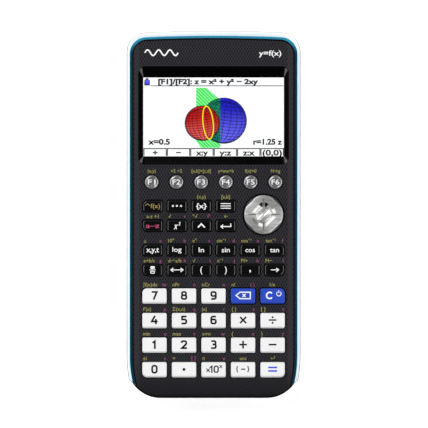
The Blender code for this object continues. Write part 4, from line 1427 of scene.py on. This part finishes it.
def make_picture():
    """Graph on the screen, as thin layers over the lit panel."""
    bottom = LCD_TOP - 0.05
    levels = [LCD_TOP + 0.02 * i for i in range(8)]

    def part(name, bm, color, slot):
        piece("picture_" + name, bm, ["lit_" + color], "screen_" + slot)

    def patch(name, outline, level, color, slot):
        bm = bmesh.new()
        slab(bm, outline, bottom, levels[level])
        part(name, bm, color, slot)

    cut_x = 3.5
    large_x, large_y, large_r = 5.3, 48.3, 11.7
    small_x, small_y, small_r = -5.8, 47.0, 8.9
    cut = math.degrees(math.acos((cut_x - large_x) / large_r))
    plane = [(-9.0, 65.3), (-9.0, 37.9), (-6.4, 34.3), (cut_x, 34.3), (cut_x, 59.0), (-3.7, 65.3)]
    small_ball = circle(small_r, 64, small_x, small_y)
    patch("plane", plane, 1, "green", "green")
    patch("large_ball", circle(large_r, 72, large_x, large_y), 2, "blue", "blue")
    patch("overlap", arc(large_x, large_y, large_r - 0.2, cut, 360.0 - cut, 40), 3, "teal", "green")
    patch("small_ball", small_ball, 4, "red", "red")
    part("large_ball_lines", ball_lines(large_x, large_y, large_r - 0.15, -8.0, bottom, levels[3] + 0.004),
         "dark_blue", "blue")
    part("small_ball_lines", ball_lines(small_x, small_y, small_r - 0.15, 8.0, bottom, levels[5]),
         "dark_red", "red")

    black = bmesh.new()
    top = levels[6]
    stroke(black, arc(large_x, large_y, large_r, -146.0, 150.0, 60), 0.4, bottom, top)
    stroke(black, small_ball, 0.45, bottom, top, True)
    for text, x, y, height, width, weight in (
            ("[F1]/[F2]: z = x² + y² − 2xy", -2.8, 68.5, 2.5, 51.6, 0.045),
            ("x=0.5", -28.15, 37.4, 2.7, 11.3, 0.04), ("r=1.25 z", 27.9, 37.4, 2.7, 14.8, 0.04)):
        lettering(black, text, x, y, bottom, top, height, width, weight)
    stroke(black, [(-32.5, 66.3), (LIT_SIDE - 0.2, 66.3)], 0.4, bottom, top)
    house = [(-35.5, 68.9), (-34.3, 70.2), (-33.1, 68.9), (-33.1, 66.7), (-35.5, 66.7)]
    stroke(black, house, 0.45, bottom, top, True)
    pitch = 2 * LIT_SIDE / 6
    foot = LIT_BOTTOM + 0.25
    for i, label in enumerate(("+", "−", "x:y", "y:z", "z:x", "(0,0)")):
        left = -LIT_SIDE + pitch * i + 0.35
        right = left + pitch - 0.6
        stroke(black, [(left, foot), (left, 33.9), (right, 33.9), (right, foot)], 0.5, bottom, top)
        width = min(1.9 * len(label) + 0.6, right - left - 1.4)
        lettering(black, label, (left + right) / 2, 31.8, bottom, top, 2.8, width, 0.03)
    part("black", black, "black", "black")

    patch("icon", house, 4, "icon", "blue")
    yellow = bmesh.new()
    section = [(px * 2.65, py * 8.5) for px, py in circle(1.0, 64)]
    stroke(yellow, rotated(section, 6.0, -2.85, 47.3), 0.6, bottom, levels[7], True)
    part("section", yellow, "yellow", "yellow")


# ---------------------------------------------------------------- inside and underneath

def make_screws():
    """Cross-recessed screws in the back, one piece each."""
    head = 1.15
    recess_end = 2.3
    arm, half = 1.15, 0.26
    profile = ((1.9, head), (2.25, 1.35), (2.4, 1.75), (2.4, 3.0), (1.05, 3.0), (1.05, 10.5), (0.6, 11.0))
    cross = []
    for quarter in range(4):
        cross += rotated([(half, -half), (arm, -half), (arm, half)], 90.0 * quarter)
    for i, (x, y) in enumerate(mirrored(SCREWS)):
        bm = bmesh.new()
        rings = tube(bm, [(circle(r, 32, x, y), z) for r, z in profile])
        cap(bm, rings[-1])
        pocket(bm, rings[0], moved(cross, x, y), [(x + px * 0.75, y + py * 0.75) for px, py in cross],
               head, recess_end)
        piece("screw_%d" % (i + 1), bm, ["steel"], "screw_steel")


def make_feet():
    for i, (x, y) in enumerate(mirrored(FEET)):
        bm = bmesh.new()
        turned(bm, ((3.3, 0.0), (3.75, 0.1), (3.95, 0.35), (3.95, BACK + 0.35)), x, y, 40)
        piece("foot_%d" % (i + 1), bm, ["rubber"], "foot_rubber")


def make_contacts():
    """Contact plates at both ends of the battery bay, with a conical spring at each negative end."""
    bm = bmesh.new()
    plate = 0.35
    plate_side = 4.3
    plate_bottom, plate_top = 3.0, 11.4
    wide, narrow = 3.2, 1.6
    spring_length = 2.2
    turns = 3.0
    steps = 60
    for i in range(4):
        x = (i - 1.5) * CELL_PITCH
        way = 1 if i % 2 == 0 else -1
        for y0, y1 in ((BAY_END - plate, BAY_END), (BAY_START, BAY_START + plate)):
            block(bm, x - plate_side, x + plate_side, y0, y1, plate_bottom, plate_top, 0.1)
        start = BAY_Y - way * (BAY_LENGTH / 2 - plate)
        coil = []
        for share in (k / steps for k in range(steps + 1)):
            a = 2.0 * math.pi * turns * share
            r = wide + (narrow - wide) * share
            y = start + way * spring_length * share
            coil.append(Vector((x + r * math.cos(a), y, CELL_Z + r * math.sin(a))))
        add_wire(bm, coil, 0.25)
    piece("battery_contacts", bm, ["contact"], "contact_metal")


def add_wire(bm, points, radius, sides=8):
    rings = []
    for i, here in enumerate(points):
        along = (points[min(i + 1, len(points) - 1)] - points[max(i - 1, 0)]).normalized()
        aside = along.cross(Vector((0.0, 1.0, 0.0))).normalized()
        up = along.cross(aside)
        rings.append([bm.verts.new((here + (aside * math.cos(a) + up * math.sin(a)) * radius) * MM)
                      for a in (2.0 * math.pi * k / sides for k in range(sides))])
    walls(bm, rings)
    cap(bm, rings[0])
    cap(bm, list(reversed(rings[-1])))


def dress_cad_nodes():
    """Materials for the CAD nodes that are shown as they are."""
    chosen = {"main_board": "board", "key_mat": "mat", "direction_pad_pivot": "pivot"}
    chosen.update({"aaa_cell_%d" % i: "cell" for i in range(1, 5)})
    for node, material in chosen.items():
        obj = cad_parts[node]
        obj.data.materials.clear()
        shade(obj, [material], 30.0)


# ---------------------------------------------------------------- stage

def make_floor():
    """Plain pale sheet: a wide disc under the calculator."""
    bm = bmesh.new()
    bmesh.ops.create_circle(bm, cap_ends=True, segments=96, radius=6.0)
    mesh = bpy.data.meshes.new("floor")
    bm.to_mesh(mesh)
    bm.free()
    paint = Paint("floor_paper", Roughness=0.9, Specular_IOR_Level=0.1, Emission_Strength=0.3,
                  Emission_Color=(1.0, 1.0, 1.0))
    fibres = paint.noise(6.0, 3.0)
    mesh.materials.append(paint.set(Base_Color=fibres.blend((0.89, 0.89, 0.89), (0.91, 0.91, 0.91))))
    add_object("floor", mesh)


def add_softbox(name, azimuth, elevation, width, height, power):
    """Area light aimed at the object; azimuth is counted from +X towards +Y."""
    distance = 1.7
    light = bpy.data.lights.new(name, "AREA")
    light.shape = "RECTANGLE"
    light.size = width
    light.size_y = height
    light.energy = power
    a = math.radians(azimuth)
    e = math.radians(elevation)
    toward = Vector((math.cos(a) * math.cos(e), math.sin(a) * math.cos(e), math.sin(e)))
    obj = add_object(name, light)
    obj.location = toward * distance
    obj.rotation_mode = "QUATERNION"
    obj.rotation_quaternion = toward.to_track_quat("Z", "Y")
    obj.visible_camera = False


def make_light():
    add_softbox("softbox_upper_left", 130.0, 50.0, 0.9, 0.9, 15.5)
    add_softbox("softbox_lower_right", -45.0, 50.0, 0.7, 0.7, 9.5)
    add_softbox("softbox_left", 180.0, 32.0, 1.2, 0.5, 6.5)
    add_softbox("softbox_right", 0.0, 32.0, 1.2, 0.5, 7.0)
    add_softbox("softbox_upper_right", 45.0, 50.0, 0.35, 0.35, 2.0)
    add_softbox("softbox_lower_left", 225.0, 50.0, 0.35, 0.35, 2.0)
    world = bpy.data.worlds.new("studio")
    world.use_nodes = True
    tree = world.node_tree
    direction = Value(tree, tree.nodes.new("ShaderNodeTexCoord").outputs["Generated"])
    _, _, height = direction.split()
    feed(tree, tree.nodes["Background"].inputs["Color"], height.spread(0.05, 0.75, 0.62, 0.02))
    bpy.context.scene.world = world
    bpy.context.scene.view_settings.view_transform = "Standard"


def make_camera():
    """Straight above the face, far off, so that the outline shows square on."""
    camera = bpy.data.cameras.new("camera")
    camera.lens = 200.0
    camera.sensor_width = 36.0
    off_middle = (0.00023, 0.00015)
    covered = 0.2204
    distance = covered * camera.lens / camera.sensor_width
    obj = add_object("camera", camera)
    obj.location = (*off_middle, PANEL_TOP * MM + distance)
    bpy.context.scene.camera = obj


make_camera()
make_rear_shell()
make_accent_band()
make_front_shell()
make_window()
make_battery_cover()
make_keys()
make_pad()
make_key_legends()
make_face_legends()
make_lcd()
make_picture()
make_screws()
make_feet()
make_contacts()
dress_cad_nodes()
make_floor()
make_light()
